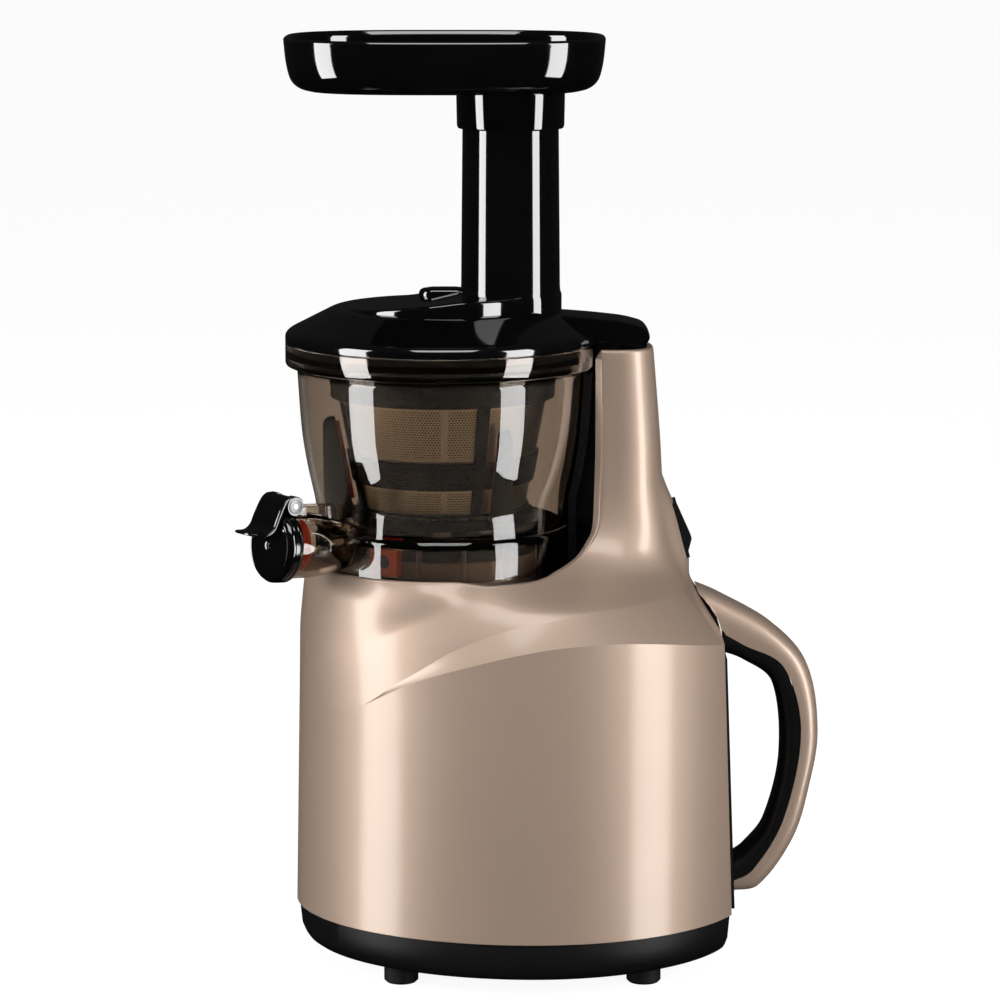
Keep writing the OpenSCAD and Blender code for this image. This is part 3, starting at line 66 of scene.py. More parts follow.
# ---------------------------------------------------------------- arrays
def smooth(x, pairs):
    """Cubic curve through (x, value) pairs; the slope at each is that of its neighbours' chord."""
    x = np.asarray(x, float)
    k = np.array([p[0] for p in pairs], float)
    v = np.array([p[1] for p in pairs], float)
    lo, hi = np.maximum(np.arange(len(k)) - 1, 0), np.minimum(np.arange(len(k)) + 1, len(k) - 1)
    s = (v[hi] - v[lo]) / (k[hi] - k[lo])
    i = np.clip(np.searchsorted(k, x, side="right") - 1, 0, len(k) - 2)
    h = k[i + 1] - k[i]
    t = np.clip((x - k[i]) / h, 0, 1)
    return (v[i] * (1 + 2 * t) * (1 - t) ** 2 + v[i + 1] * t * t * (3 - 2 * t)
            + h * s[i] * t * (1 - t) ** 2 - h * s[i + 1] * t * t * (1 - t))


def mix(a, b, t):
    return a + (b - a) * t


def ease(t):
    """Smooth step from 0 to 1: t squared times (3 - 2 t)."""
    t = np.clip(t, 0, 1)
    return t * t * (3 - 2 * t)


def spow(v, n):
    """Signed power: the sign of v times its size to the power n."""
    return np.sign(v) * np.abs(v) ** n


def solid(name, verts, faces):
    """A bare object from points in millimetres about the bowl's axis and faces."""
    me = bpy.data.meshes.new(name)
    me.from_pydata(((np.asarray(verts, float).reshape(-1, 3) + (0, SHIFT, 0)) / 1000).tolist(), [], faces)
    me.validate()
    ob = bpy.data.objects.new(name, me)
    bpy.context.collection.objects.link(ob)
    return ob


def finish_mesh(name, verts, faces, finish, body, slot, stands_for=(), angle=35, bevel=0):
    """A finished piece; its shading is smooth up to a sharp angle."""
    dress(solid(name, verts, faces), finish, body, stands_for, angle, bevel)


def dress(ob, finish, body, stands_for=(), angle=35, bevel=0):
    """Gives a piece its shading, finish, body and the solids that it stands for."""
    me = ob.data
    me.materials.clear()
    me.materials.append(finish)
    if bevel:
        b = ob.modifiers.new("edge", "BEVEL")
        b.width, b.segments = bevel / 1000, BEVEL_STEPS
        b.limit_method, b.angle_limit = "ANGLE", math.radians(BEVEL_ANGLE)
        b.harden_normals = False
    me.polygons.foreach_set("use_smooth", np.ones(len(me.polygons), bool))
    me.set_sharp_from_angle(angle=math.radians(angle))
    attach(ob, body)
    if stands_for:
        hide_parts(*stands_for)


def quads(rows, cols, wrap_c=False, wrap_r=False, flip=False):
    """Faces of a grid of points, closed round its columns or rows if asked."""
    r = np.arange(rows if wrap_r else rows - 1)[:, None]
    c = np.arange(cols if wrap_c else cols - 1)[None, :]
    a, b = r * cols + c, r * cols + (c + 1) % cols
    e, d = ((r + 1) % rows) * cols + (c + 1) % cols, ((r + 1) % rows) * cols + c
    q = np.stack([a, b, e, d], -1).reshape(-1, 4)
    return (q[:, ::-1] if flip else q).tolist()


def rings(grid, cap=(True, True), flip=False):
    """Points and faces of rings stacked into a tube, with flat ends where asked."""
    rows, cols = grid.shape[:2]
    f = quads(rows, cols, wrap_c=True, flip=flip)
    if cap[0]:
        f.append(list(range(cols))[:: 1 if flip else -1])
    if cap[1]:
        f.append([(rows - 1) * cols + i for i in range(cols)][:: -1 if flip else 1])
    return grid.reshape(-1, 3), f


def torus(grid, flip=False):
    """Points and faces of rings stacked into a tube whose last ring joins the first."""
    rows, cols = grid.shape[:2]
    return grid.reshape(-1, 3), quads(rows, cols, wrap_c=True, wrap_r=True, flip=flip)


def circle(n):
    """Angles of n even steps round a circle."""
    return np.radians(np.arange(n) * 360 / n)


def lathe(profile, turn=160):
    """Surface of revolution: each (radius, height) of the closed profile is carried round the bowl's axis."""
    p, a = np.array(profile, float), circle(turn)
    r, z = p[:, None, 0], np.broadcast_to(p[:, None, 1], (len(p), turn))
    return torus(np.stack([r * np.cos(a), r * np.sin(a), z], -1))


def fillet(points, radii, n=6, most=0.48):
    """Closed outline with each corner replaced by a quadratic curve whose ends lie that corner's radius from
    it, or at most a given share of the side."""
    out = []
    m = len(points)
    for i, r in enumerate(radii):
        p, a, b = (np.array(points[k % m], float) for k in (i, i - 1, i + 1))
        if r <= 0:
            out.append(p)
            continue
        da, db = a - p, b - p
        la, lb = np.linalg.norm(da), np.linalg.norm(db)
        q0, q1 = p + da / la * min(r, la * most), p + db / lb * min(r, lb * most)
        t = np.linspace(0, 1, n)[:, None]
        out.extend(q0 * (1 - t) ** 2 + 2 * p * t * (1 - t) + q1 * t * t)
    return np.array(out)


def radial(points, angle, z=0.0):
    """Turns points given as (outwards, sideways, up) to face a direction measured from the front."""
    a = math.radians(angle - 90)
    p = np.asarray(points, float)
    x, y = p[..., 0], p[..., 1]
    return np.stack([x * math.cos(a) - y * math.sin(a), x * math.sin(a) + y * math.cos(a), p[..., 2] + z], -1)


def disc_rod(radii, along, n):
    """Rod along its first axis: for each radius and distance a ring across it."""
    r, d, a = np.array(radii, float)[:, None], np.array(along, float)[:, None], circle(n)
    return np.stack([np.broadcast_to(d, (len(d), n)), r * np.cos(a), r * np.sin(a)], -1)


def carve(ob, steps):
    """Joins or cuts a piece with other solids in turn, keeps the result as its mesh and removes them."""
    for i, (kind, other) in enumerate(steps):
        m = ob.modifiers.new("c%d" % i, "BOOLEAN")
        m.operation, m.object, m.solver = kind, other, "EXACT"
    dg = bpy.context.evaluated_depsgraph_get()
    me = bpy.data.meshes.new_from_object(ob.evaluated_get(dg))
    ob.modifiers.clear()
    ob.data = me
    for _, other in steps:
        bpy.data.objects.remove(other)


# ---------------------------------------------------------------- finishes
class Value:
    """One socket's value; the usual operators add Math nodes to its material."""

    def __init__(self, kit, socket):
        self.kit, self.socket = kit, socket

    def _do(self, op, a, b=None):
        return self.kit.add("ShaderNodeMath", {"operation": op}, [a] if b is None else [a, b])

    def __add__(self, o):
        return self._do("ADD", self, o)

    def __sub__(self, o):
        return self._do("SUBTRACT", self, o)

    def __mul__(self, o):
        return self._do("MULTIPLY", self, o)

    def __lt__(self, o):
        return self._do("LESS_THAN", self, o)

    def __gt__(self, o):
        return self._do("GREATER_THAN", self, o)

    def __radd__(self, o):
        return self._do("ADD", o, self)

    def __rsub__(self, o):
        return self._do("SUBTRACT", o, self)

    def __rmul__(self, o):
        return self._do("MULTIPLY", o, self)

    def __abs__(self):
        return self._do("ABSOLUTE", self)

    def fn(self, op, other=None):
        return self._do(op, self, other)

    def clamp(self):
        return self.kit.add("ShaderNodeClamp", {}, [self])


class Kit:
    """Adds nodes to a tree."""

    def __init__(self, tree):
        self.tree = tree

    def add(self, kind, settings=None, values=(), out=0):
        """Adds a node: settings first, then the values or links of its sockets."""
        n = self.tree.nodes.new(kind)
        for k, v in (settings or {}).items():
            setattr(n, k, v)
        items = values.items() if isinstance(values, dict) else enumerate(values)
        for k, v in items:
            if isinstance(v, Value):
                self.tree.links.new(v.socket, n.inputs[k])
            else:
                n.inputs[k].default_value = v
        return Value(self, n.outputs[out])

    def split(self, vector, axis):
        return self.add("ShaderNodeSeparateXYZ", {}, [vector], axis)


class Finish(Kit):
    """A material made of nodes: constants go on the shader's sockets, expressions are linked."""

    def __init__(self, name, **constants):
        self.mat = bpy.data.materials.new(name)
        self.mat.use_nodes = True
        super().__init__(self.mat.node_tree)
        self.bsdf = self.tree.nodes["Principled BSDF"]
        for key, val in constants.items():
            self.bsdf.inputs[key.replace("_", " ")].default_value = val
        c = self.bsdf.inputs["Base Color"].default_value
        self.mat.diffuse_color = (c[0], c[1], c[2], 1)

    def here(self, scale=(1, 1, 1), offset=(0, 0, 0)):
        """Object coordinates in metres, stretched by scale after the offset is added."""
        c = self.add("ShaderNodeTexCoord", out=3)
        c = self.add("ShaderNodeVectorMath", {"operation": "ADD"}, [c, offset])
        return self.add("ShaderNodeVectorMath", {"operation": "MULTIPLY"}, [c, scale])

    def noise(self, at, scale, detail=3.0):
        return self.add("ShaderNodeTexNoise", {}, {"Vector": at, "Scale": scale, "Detail": detail})

    def tint(self, share, a, b):
        """Colour between a and b by a share."""
        n = self.tree.nodes.new("ShaderNodeMix")
        n.data_type = "RGBA"
        self.tree.links.new(share.socket, n.inputs[0])
        for k, v in ((6, a), (7, b)):
            if isinstance(v, Value):
                self.tree.links.new(v.socket, n.inputs[k])
            else:
                n.inputs[k].default_value = (*v, 1)
        return Value(self, n.outputs[2])

    def bump(self, height, distance, strength=1.0):
        b = self.add("ShaderNodeBump", {}, {"Strength": strength, "Distance": distance, "Height": height})
        self.tree.links.new(b.socket, self.bsdf.inputs["Normal"])

    def set(self, **links):
        for key, v in links.items():
            self.tree.links.new(v.socket, self.bsdf.inputs[key.replace("_", " ")])
        return self.mat


def lacquer():
    """Champagne metallic lacquer: fine flake in a satin coat, a little deeper in broad patches."""
    f = Finish("champagne_lacquer", Metallic=0.6, Coat_Weight=0.35, Coat_Roughness=0.16, Coat_IOR=1.5)
    at = f.here()
    flake = f.noise(at, 2600, 1.0)
    cloud = f.noise(at, 9, 2.0)
    col = f.tint((flake * 0.5 + cloud * 0.5).clamp(), (0.262, 0.190, 0.142), (0.325, 0.245, 0.192))
    f.bump(flake, 0.00001, 0.35)
    return f.set(Base_Color=col, Roughness=f.noise(at, 30, 2.0) * 0.05 + 0.50)


def gloss_black():
    """Polished black moulding: a faint waviness as moulded and hair-fine wear in its sheen."""
    f = Finish("gloss_black", Specular_IOR_Level=0.68, IOR=1.5)
    at = f.here()
    col = f.tint(f.noise(at, 40, 2.0), (0.0007, 0.0007, 0.0008), (0.0014, 0.0014, 0.0016))
    f.bump(f.noise(at, 55, 1.0), 0.00006, 0.2)
    return f.set(Base_Color=col, Roughness=f.noise(f.here((1, 1, 0.25)), 240, 4.0) * 0.04 + 0.04)


def satin_black(name="satin_black", rough=0.34, grain=1500, depth=0.00003, shine=0.35):
    """Satin black moulding with a fine spark-eroded grain."""
    f = Finish(name, IOR=1.48, Specular_IOR_Level=shine)
    at = f.here()
    g = f.noise(at, grain, 2.0)
    f.bump(g, depth, 0.6)
    return f.set(Base_Color=f.tint(f.noise(at, 35, 2.0), (0.0018, 0.0018, 0.002), (0.0035, 0.0035, 0.0038)),
                 Roughness=g * 0.1 + rough)


def smoked_clear():
    """Brown-tinted clear moulding, thin enough for light to pass, with faint flow marks."""
    f = Finish("smoked_clear", Transmission_Weight=1.0, IOR=1.46)
    at = f.here()
    col = f.tint(f.noise(at, 14, 2.0), (0.40, 0.335, 0.275), (0.45, 0.38, 0.315))
    f.bump(f.noise(f.here((1, 1, 0.4)), 42, 1.0), 0.00005, 0.2)
    return f.set(Base_Color=col, Roughness=f.noise(at, 90, 3.0) * 0.03)


def silicone():
    """Orange-red silicone: waxy, with a soft mottled skin."""
    f = Finish("silicone_red", Subsurface_Weight=0.12, Subsurface_Scale=0.002, IOR=1.41)
    at = f.here()
    n = f.noise(at, 260, 3.0)
    f.bump(n, 0.00004, 0.5)
    col = f.tint(f.noise(at, 60, 2.0), (0.62, 0.055, 0.01), (0.82, 0.10, 0.018))
    return f.set(Base_Color=col, Roughness=n * 0.12 + 0.34)


def rubber():
    """Matt black rubber, slightly dusty."""
    f = Finish("foot_rubber", IOR=1.45, Specular_IOR_Level=0.2)
    at = f.here()
    n = f.noise(at, 900, 3.0)
    f.bump(n, 0.00005, 0.7)
    col = f.tint(n, (0.003, 0.003, 0.003), (0.007, 0.007, 0.007))
    return f.set(Base_Color=col, Roughness=n * 0.15 + 0.62)


def metal(name, dark, light, rough=0.25, grain=(400, 400, 12), depth=0.00001):
    """Worked metal: a fine grain, drawn out into lines where its scales differ, varies colour and sheen."""
    f = Finish(name, Metallic=1.0)
    n = f.noise(f.here(grain), 1.0, 3.0)
    f.bump(n, depth, 0.5)
    return f.set(Base_Color=f.tint(n, dark, light), Roughness=n * 0.14 + rough)


def plain_plastic(name, a, b, rough=0.4):
    """Cut or moulded plastic in one colour, faintly mottled."""
    f = Finish(name, IOR=1.5)
    n = f.noise(f.here(), 300, 3.0)
    f.bump(n, 0.00002, 0.4)
    return f.set(Base_Color=f.tint(n, a, b), Roughness=n * 0.1 + rough)


SHEET_HOLES, SHEET_ROW, HOLE_SHARE = 200, 1.1, 0.31
MARGINS = [(221.7, 7.6), (204.5, 1.4), (252.6, 1.6)]
SEAM_AT, SEAM_HALF = 0.03, 0.035


def sieve():
    """Perforated strainer sheet, warm stainless. Each row has the same number of cells round the bowl's axis,
    and every other row is shifted by half a cell; a hole is where the distance from its cell's middle, as a
    share of the cell, is small. The MARGINS beside the frame's bands, each (height, half width), are plain,
    and so is one upright strip where the sheet is joined. The holes are partly open, and their near-black
    colour is painted shade for the dark inside seen through them."""
    f = Finish("strainer_sheet", Metallic=1.0)
    at = f.here(offset=(0, -SHIFT / 1000, 0))
    x, y, z = (f.split(at, k) for k in range(3))
    turn = f.add("ShaderNodeMath", {"operation": "ARCTAN2"}, [y, x])
    u = turn * (SHEET_HOLES / (2 * math.pi)) + 1.5 * SHEET_HOLES
    v = z * (1000 / SHEET_ROW)
    u = u + v.fn("FLOOR").fn("MODULO", 2.0) * 0.5
    du, dv = u.fn("FRACT") - 0.5, v.fn("FRACT") - 0.5
    far = (du * du + dv * dv).fn("SQRT")
    mm = z * 1000
    plain = abs(turn - SEAM_AT) < SEAM_HALF
    for height, half in MARGINS:
        plain = plain.fn("MAXIMUM", abs(mm - height) < half)
    hole = (far < HOLE_SHARE) * (1 - plain)
    n = f.noise(f.here((1, 1, 0.06)), 700, 3.0)
    f.bump((far * 2.2).clamp(), 0.00008, 0.6)
    sheet = f.tint(n, (0.50, 0.42, 0.31), (0.70, 0.62, 0.49))
    # Painted shade: the holes take a near-black colour for the dark inside of the strainer seen through them.
    col = f.tint(hole, sheet, (0.012, 0.010, 0.008))
    return f.set(Base_Color=col, Roughness=n * 0.1 + 0.34, Alpha=1 - hole * 0.6)


LACQUER, GLOSS, SATIN = lacquer(), gloss_black(), satin_black()
GRIP = satin_black("grip_black", 0.28, 1900, 0.00002)
TUB = satin_black("tub_black", 0.42, 1200, 0.00003, 0.12)
INNER = satin_black("inner_black", 0.36, 1500, 0.00003, 0.09)
PIN = metal("hinge_pin_end", (0.10, 0.10, 0.105), (0.17, 0.17, 0.175), 0.36)
CLEAR, SILICONE, RUBBER, SIEVE = smoked_clear(), silicone(), rubber(), sieve()
STEEL = metal("turned_steel", (0.50, 0.50, 0.51), (0.66, 0.66, 0.67))
CAST = metal("cast_light_metal", (0.42, 0.42, 0.43), (0.56, 0.56, 0.57), 0.42, (300, 300, 300), 0.00004)
BRONZE = metal("bearing_bronze", (0.55, 0.36, 0.16), (0.70, 0.48, 0.24), 0.34, (500, 500, 500))
NYLON = plain_plastic("cut_nylon", (0.62, 0.62, 0.58), (0.74, 0.74, 0.70))
BOARD = plain_plastic("circuit_board", (0.02, 0.10, 0.04), (0.03, 0.15, 0.06), 0.45)
WINDING = plain_plastic("varnished_winding", (0.16, 0.08, 0.04), (0.26, 0.14, 0.07), 0.3)


# ---------------------------------------------------------------- body shell
# S is the seat plane. Each table holds (place, value) pairs. The places of RIM_SHARE to MOUND are heights,
# those of LOW and HIGH are angles, and those of RIM_Y, RIM_Z and CREASE are shares of the way from front to
# back. The values of LOW, HIGH and RIM_Z are heights over S.
S = SEAT_Z
TAPER_Z, TOWER_MID, CORNER = S - 58, TOWER_BACK - 16.4, 158.0
DRUM_H, SIDE_DRAW, BACK_DRAW = 120, 1.0, 4.6
REAR_POWER = 2 / 2.6
BLEND_Y, BLEND_LENGTH, MOUND_HALF = 15, 45, 13
SHOULDER_R, SHOULDER_LIFT = COLLAR_R + 1.7, 0.8
SHOULDER_END, SHOULDER_FADE, SHOULDER_FROM, SHOULDER_ROWS = 0.285, 0.055, 0.7, 0.3
RIM_END, RIM_REST, ROLL_R = 0.72, 0.28, 1.2
REAR_CREASE = -28.4
RIM_SHARE = [(TAPER_Z, 0.985), (S - 41, 0.953), (S - 26, 0.9), (S - 18, 0.855), (S - 7, 0.76), (S, 0.66),
             (S + 9, 0.52)]
TOWER_SHARE = [(TAPER_Z, 0.985), (S - 41, 0.965), (S - 26, 0.925), (S - 17, 0.87), (S - 10, 0.79),
               (S - 7, 0.72), (S - 3, 0.58), (S + 2, 0.4), (S + 7, 0.275), (S + 13, 0.19), (S + 23, 0.12),
               (S + 38, 0.07), (S + 63, 0.03), (TOWER_Z, 0)]
MID = [(S - 7, BODY_MID), (S, BODY_MID + 2), (S + 7, BODY_MID + 20), (S + 15, TOWER_MID - 4),
       (S + 27, TOWER_MID), (TOWER_Z, TOWER_MID)]
FRONT = [(BASE_Z, -BODY_FRONT), (TAPER_Z, -BODY_FRONT + 1.8), (S - 13, -BODY_FRONT + 2.9),
         (S - 7, -BODY_FRONT + 5.4), (S, -BODY_FRONT + 8), (S + 13, -BODY_FRONT + 36),
         (TOWER_Z, TOWER_MID - 46)]
BACK = [(TAPER_Z, BODY_REAR - 2.7), (S - 27, BODY_REAR - 5), (S - 19, BODY_REAR - 9),
        (S - 9, TOWER_BACK + 17.6), (S - 2, TOWER_BACK + 14.1), (S + 8, TOWER_BACK + 10.1),
        (S + 27, TOWER_BACK + 6.1), (S + 36, TOWER_BACK + 4.6), (S + 58, TOWER_BACK + 3.2),
        (S + 78, TOWER_BACK + 1.6), (TOWER_Z, TOWER_BACK)]
MOUND = [(S - 14, 0), (S - 4, 1.6), (S + 4, MOUND_H + 1.6), (S + 18, MOUND_H + 1.6),
         (S + 28, MOUND_H * 0.8 + 0.8), (S + 40, 0)]
LOW = [(0, -58), (38, -56), (46, -50.8), (55, -43.3), (66, -35.4), (80.6, -27.6), (91, -23.5), (103, -21.6),
       (116, -21.4), (130, -23.2), (CORNER, REAR_CREASE), (180, REAR_CREASE)]
HIGH = [(0, -58), (38, -56), (46, -50.8), (55, -41), (62, -34), (70, -25.6), (80.5, -18), (91, -13),
        (102.6, -9.7), (120.5, -8.2), (145.8, -6.9), (CORNER, -7.1), (180, -8.8)]
RIM_Y = [(0, -BODY_FRONT + 5.4), (0.06, -44), (0.12, -28), (0.22, 0), (0.3, 25), (0.36, 41.6), (0.42, 51.5),
         (0.48, 60), (0.53, 65), (0.57, 68), (0.62, 69), (0.67, 69.5), (RIM_END, 69.3)]
RIM_Z = [(0, -7), (0.06, -5), (0.12, -2.8), (0.22, 0.1), (0.3, 0.3), (0.36, 1), (0.42, 3.9), (0.48, 8.6),
         (0.53, 15.1), (0.57, 22.9), (0.62, 41), (0.67, 66), (RIM_END, TOWER_Z - S)]
CREASE = [(0, 0), (0.06, 20), (0.12, 38), (0.22, 66), (0.3, 82), (0.36, 91), (0.42, 97), (0.48, 103),
          (0.53, 108), (0.57, 112), (0.62, 117), (0.67, 122), (RIM_END, 130), (24 / 28, CORNER), (1, 180)]


def cosd(a):
    return np.cos(np.radians(a))


def sind(a):
    return np.sin(np.radians(a))


def upper(theta, z):
    """Point above the creases: each level is an ellipse in front of its middle and a squarer half-oval
    behind, whose width is a share between tower and body that falls with height, and the switch mound lies
    on the back."""
    m, front = smooth(z, MID), theta < 90
    c, s = cosd(theta), np.maximum(sind(theta), 0)
    n = np.where(front, 1.0, REAR_POWER)
    reach = np.where(front, m - smooth(z, FRONT), smooth(z, BACK) - m)
    y = m - np.sign(c) * reach * np.abs(c) ** n
    share = mix(smooth(z, RIM_SHARE), smooth(z, TOWER_SHARE), ease((y - BLEND_Y) / BLEND_LENGTH))
    x = mix(TOWER_W, BODY_W, share) / 2 * s ** n
    lump = np.exp(-(np.abs(x) / MOUND_HALF) ** 4) * smooth(z, MOUND)
    return np.stack([x, y + np.where(front, 0, lump), z], -1)


def drum(theta, z):
    """Point of the drum's wall: half-ellipse in front, oval behind, flat back, drawn in a little upwards."""
    d = (z - BASE_Z) / DRUM_H
    half, back = BODY_W / 2 - SIDE_DRAW * d, BODY_REAR - BACK_DRAW * d
    end = np.degrees(np.arcsin((back - BODY_MID) / BODY_OVAL))
    t = (theta - 90) / (CORNER - 90) * end
    flat = half * cosd(end) * (180 - theta) / (180 - CORNER)
    x = np.where(theta < 90, half * sind(theta), np.where(theta <= CORNER, half * cosd(t), flat))
    nose = BODY_MID - (BODY_MID - smooth(z, FRONT)) * cosd(theta)
    y = np.where(theta < 90, nose, np.where(theta <= CORNER, BODY_MID + BODY_OVAL * sind(t), back))
    return np.stack([x, y, z], -1)


def rim_angle(u):
    """Angle and height of the shell's rim at share u of the way from front to back."""
    v = np.minimum(u, RIM_END)
    z = S + smooth(v, RIM_Z)
    y = smooth(v, RIM_Y)
    m, f = smooth(z, MID), smooth(z, FRONT)
    a = np.degrees(np.arccos(np.clip((m - y) / (m - f), -1, 1)))
    return np.where(u <= RIM_END, a, mix(a, 180, (u - RIM_END) / RIM_REST)), z


def shoulder(rows, u):
    """Draws the last rows of the front up to a round edge beside the collar: each point moves by its
    column's way from the rim to that circle, times a smooth step along the rows and a smooth step that ends
    where the rim turns up to the tower."""
    a = np.arctan2(rows[-1, :, 0], -rows[-1, :, 1])
    level = np.full_like(a, COLLAR_Z + SHOULDER_LIFT)
    edge = np.stack([SHOULDER_R * np.sin(a), -SHOULDER_R * np.cos(a), level], -1)
    way = (edge - rows[-1]) * ease((SHOULDER_END - u) / SHOULDER_FADE)[:, None]
    v = np.linspace(0, 1, len(rows))
    return rows + way[None] * ease((v - SHOULDER_FROM) / SHOULDER_ROWS)[:, None, None]


def shell_grid(cols=168, wall=14, facet=70, growth=1.6):
    """Grid of the half shell. Columns run from the front round the right side to the back; rows run up the
    drum to the lower crease, then from the upper crease to the rim with steps that start small and grow."""
    u = np.linspace(0, 1, cols + 1)
    theta = smooth(u, CREASE)
    low, high = S + smooth(theta, LOW), S + smooth(theta, HIGH)
    ra, rz = rim_angle(u)
    a = [drum(theta, mix(BASE_Z, low, t)) for t in np.linspace(0, 1, wall)]
    b = [upper(mix(theta, ra, w), mix(high, rz, w)) for w in np.linspace(0, 1, facet) ** growth]
    return np.concatenate([np.array(a), shoulder(np.array(b), u)])


def both_sides(half):
    """Closed rows from half rows, by repeating them mirrored to the left."""
    left = half[:, -2:0:-1] * (-1, 1, 1)
    return np.concatenate([half, left], 1)


def body_shell():
    """The mirrored half grid, its rim rolled inwards in a quarter circle, with a short return below."""
    g = both_sides(shell_grid())
    top = g[-1]
    t = np.roll(top, -1, 0) - np.roll(top, 1, 0)
    inward = np.stack([-t[:, 1], t[:, 0], 0 * t[:, 0]], -1)
    inward /= np.maximum(np.linalg.norm(inward, axis=1, keepdims=True), 1e-6)
    up = np.array([0, 0, 1.0])
    roll = [top + inward * ROLL_R * (1 - math.cos(a)) - up * ROLL_R * (1 - math.sin(a))
            for a in np.linspace(0, math.pi / 2, 5)]
    under = [roll[-1] + inward * 1.5, roll[-1] + inward * 1.6 - up * 4]
    g = np.concatenate([g[:-1], np.array(roll), np.array(under)])
    faces = quads(len(g), g.shape[1], wrap_c=True)
    finish_mesh("body_shell", g, faces, LACQUER, "base", "champagne", ("housing",), 28)


body_shell()


# ---------------------------------------------------------------- lid, feed tube, loading tray
OVAL_POWER, TRAY_POWER, TRAY_COUNT = 2.4, 3.0, 192
RAMP_TOP = LID_TOP + RAMP_H
RAMP_SIDE, RAMP_FADE, RAMP_EDGE = -13, 2.0, 1.4
LUG_HALF, LUG_MIDDLE, LUG_ROUND, LUG_END = 15, 68, 0.22, 0.86
KNOB_R, KNOB_X, KNOB_MIDDLE, KNOB_FRONT, KNOB_BACK = 6, -2, 1, -4.5, 6
LIP_R, MOUTH_H, SOCKET_T = 1.2, 1.2, 2.2


def oval(length, width, count):
    """Superellipse outline: sideways width/2 cos^(2/n), along length/2 sin^(2/n)."""
    a = circle(count)
    return width / 2 * spow(np.cos(a), 2 / OVAL_POWER), length / 2 * spow(np.sin(a), 2 / OVAL_POWER)


def tube_ring(grow, z, count=120):
    """Ring at a height round the feed tube's middle, wider than the tube by grow on every side."""
    x, y = oval(TUBE_L + 2 * grow, TUBE_W + 2 * grow, count)
    return np.stack([x, y + TUBE_Y, np.full(count, z)], -1)


def gloss_piece(name, verts, faces, stands_for=(), angle=40, body="lid_group"):
    finish_mesh(name, verts, faces, GLOSS, body, "gloss_black", stands_for, angle)


def ramp_height(x, y):
    """Height of the ramp above the plate: rises evenly from its front to the tube, dies out on the left."""
    up = np.clip((y + RAMP_R) / (TUBE_Y - TUBE_L / 2 + RAMP_R), 0, 1)
    return RAMP_H * up * ease((x - RAMP_SIDE) / RAMP_FADE)


def lid_cone():
    """Skirt, band, cone and plate of the lid: one lathed outline with its corners eased."""
    skirt, band = FLANGE_R - 5.4, FLANGE_R - 2.8
    edge = [(skirt, LID_Z - 3.4), (band, LID_Z - 3.4), (band, LID_Z + 0.3), (FLANGE_R, LID_Z + 0.3),
            (FLANGE_R, LID_Z + 3.4), (FLANGE_R - 1.6, LID_Z + 5.2), (LID_TOP_R + 2.2, LID_TOP - 0.4),
            (LID_TOP_R - 1, LID_TOP), (RAMP_R - 1, LID_TOP), (20, LID_TOP - 0.5), (20, LID_TOP - 2.6),
            (LID_TOP_R - 2, LID_TOP - 2.6), (skirt, LID_Z + 3)]
    prof = fillet(edge, [0, 0.4, 0, 0.35, 1.2, 1.6, 2.2, 0.6, 0, 0, 0, 0, 0])
    gloss_piece("lid_cone", *lathe(prof), ("lid",), 32)


def lid_ramp():
    """Spiral ramp as a height field on polar rings from the middle out, a hair above the plate where there is
    no ramp; the last rings round its edge and drop as its wall to just below the plate."""
    flat, bend = 60, np.linspace(0, np.pi / 2, 7)
    r = np.concatenate([np.linspace(0.01, RAMP_R - 1.6, flat), RAMP_R - RAMP_EDGE + RAMP_EDGE * np.sin(bend),
                        [RAMP_R, RAMP_R]])
    drop = np.concatenate([np.zeros(flat), 1 - np.cos(bend), [3.0, 30.0]])
    a = circle(240)
    x, y = r[:, None] * np.cos(a), r[:, None] * np.sin(a)
    h = ramp_height(x, y)
    z = LID_TOP + 0.02 + h - np.minimum(drop[:, None] * 1.2, h + 1.0)
    gloss_piece("lid_ramp", *rings(np.stack([x, y, z], -1), cap=(True, False), flip=True), (), 32)


def lug():
    """Lug over the tower: its filleted side outline is carried across and drawn in towards its middle at
    both ends, by a low power of the cosine, so that its edges are round."""
    edge = [(40, LID_Z + 0.6), (46, LID_TOP - 1.8), (62, LID_TOP - 3), (80, LID_TOP - 5.2),
            (88.4, LID_Z + 7.4), (91.2, LID_Z + 2.8), (89.4, TOWER_Z + 1.3), (71, TOWER_Z + 1.3),
            (71, LID_Z + 0.6)]
    o = fillet(edge, [0, 6, 8, 6, 2.5, 2, 1.5, 1, 0], 8)
    level = LID_Z + 6.0
    s = np.linspace(-1, 1, 29)[:, None] * np.pi / 2
    k = np.cos(s) ** LUG_ROUND
    k[[0, -1]] = LUG_END
    along = LUG_MIDDLE + (o[:, 0] - LUG_MIDDLE) * (0.9 + 0.1 * k)
    across = np.broadcast_to(LUG_HALF * np.sin(s), along.shape)
    gloss_piece("lid_lug", *rings(np.stack([across, along, level + (o[:, 1] - level) * k], -1)))


def knob():
    """Hump beside the tube: a stadium outline, drawn in ring by ring so that its top is round."""
    a = circle(64)
    x = KNOB_R * np.cos(a)
    y = KNOB_R * np.sin(a) + np.where(np.sin(a) > 0, KNOB_BACK, KNOB_FRONT)
    levels = [(LID_TOP - 1, 1.03), (LID_TOP + 0.6, 1.0), (RAMP_TOP - 0.8, 0.99), (RAMP_TOP + 0.4, 0.95),
              (RAMP_TOP + 1.1, 0.86), (RAMP_TOP + 1.5, 0.66), (RAMP_TOP + 1.6, 0.3)]
    g = [np.stack([x * k + KNOB_X, (y - KNOB_MIDDLE) * k + KNOB_MIDDLE, np.full_like(a, z)], -1)
         for z, k in levels]
    gloss_piece("lid_knob", *rings(np.array(g)))


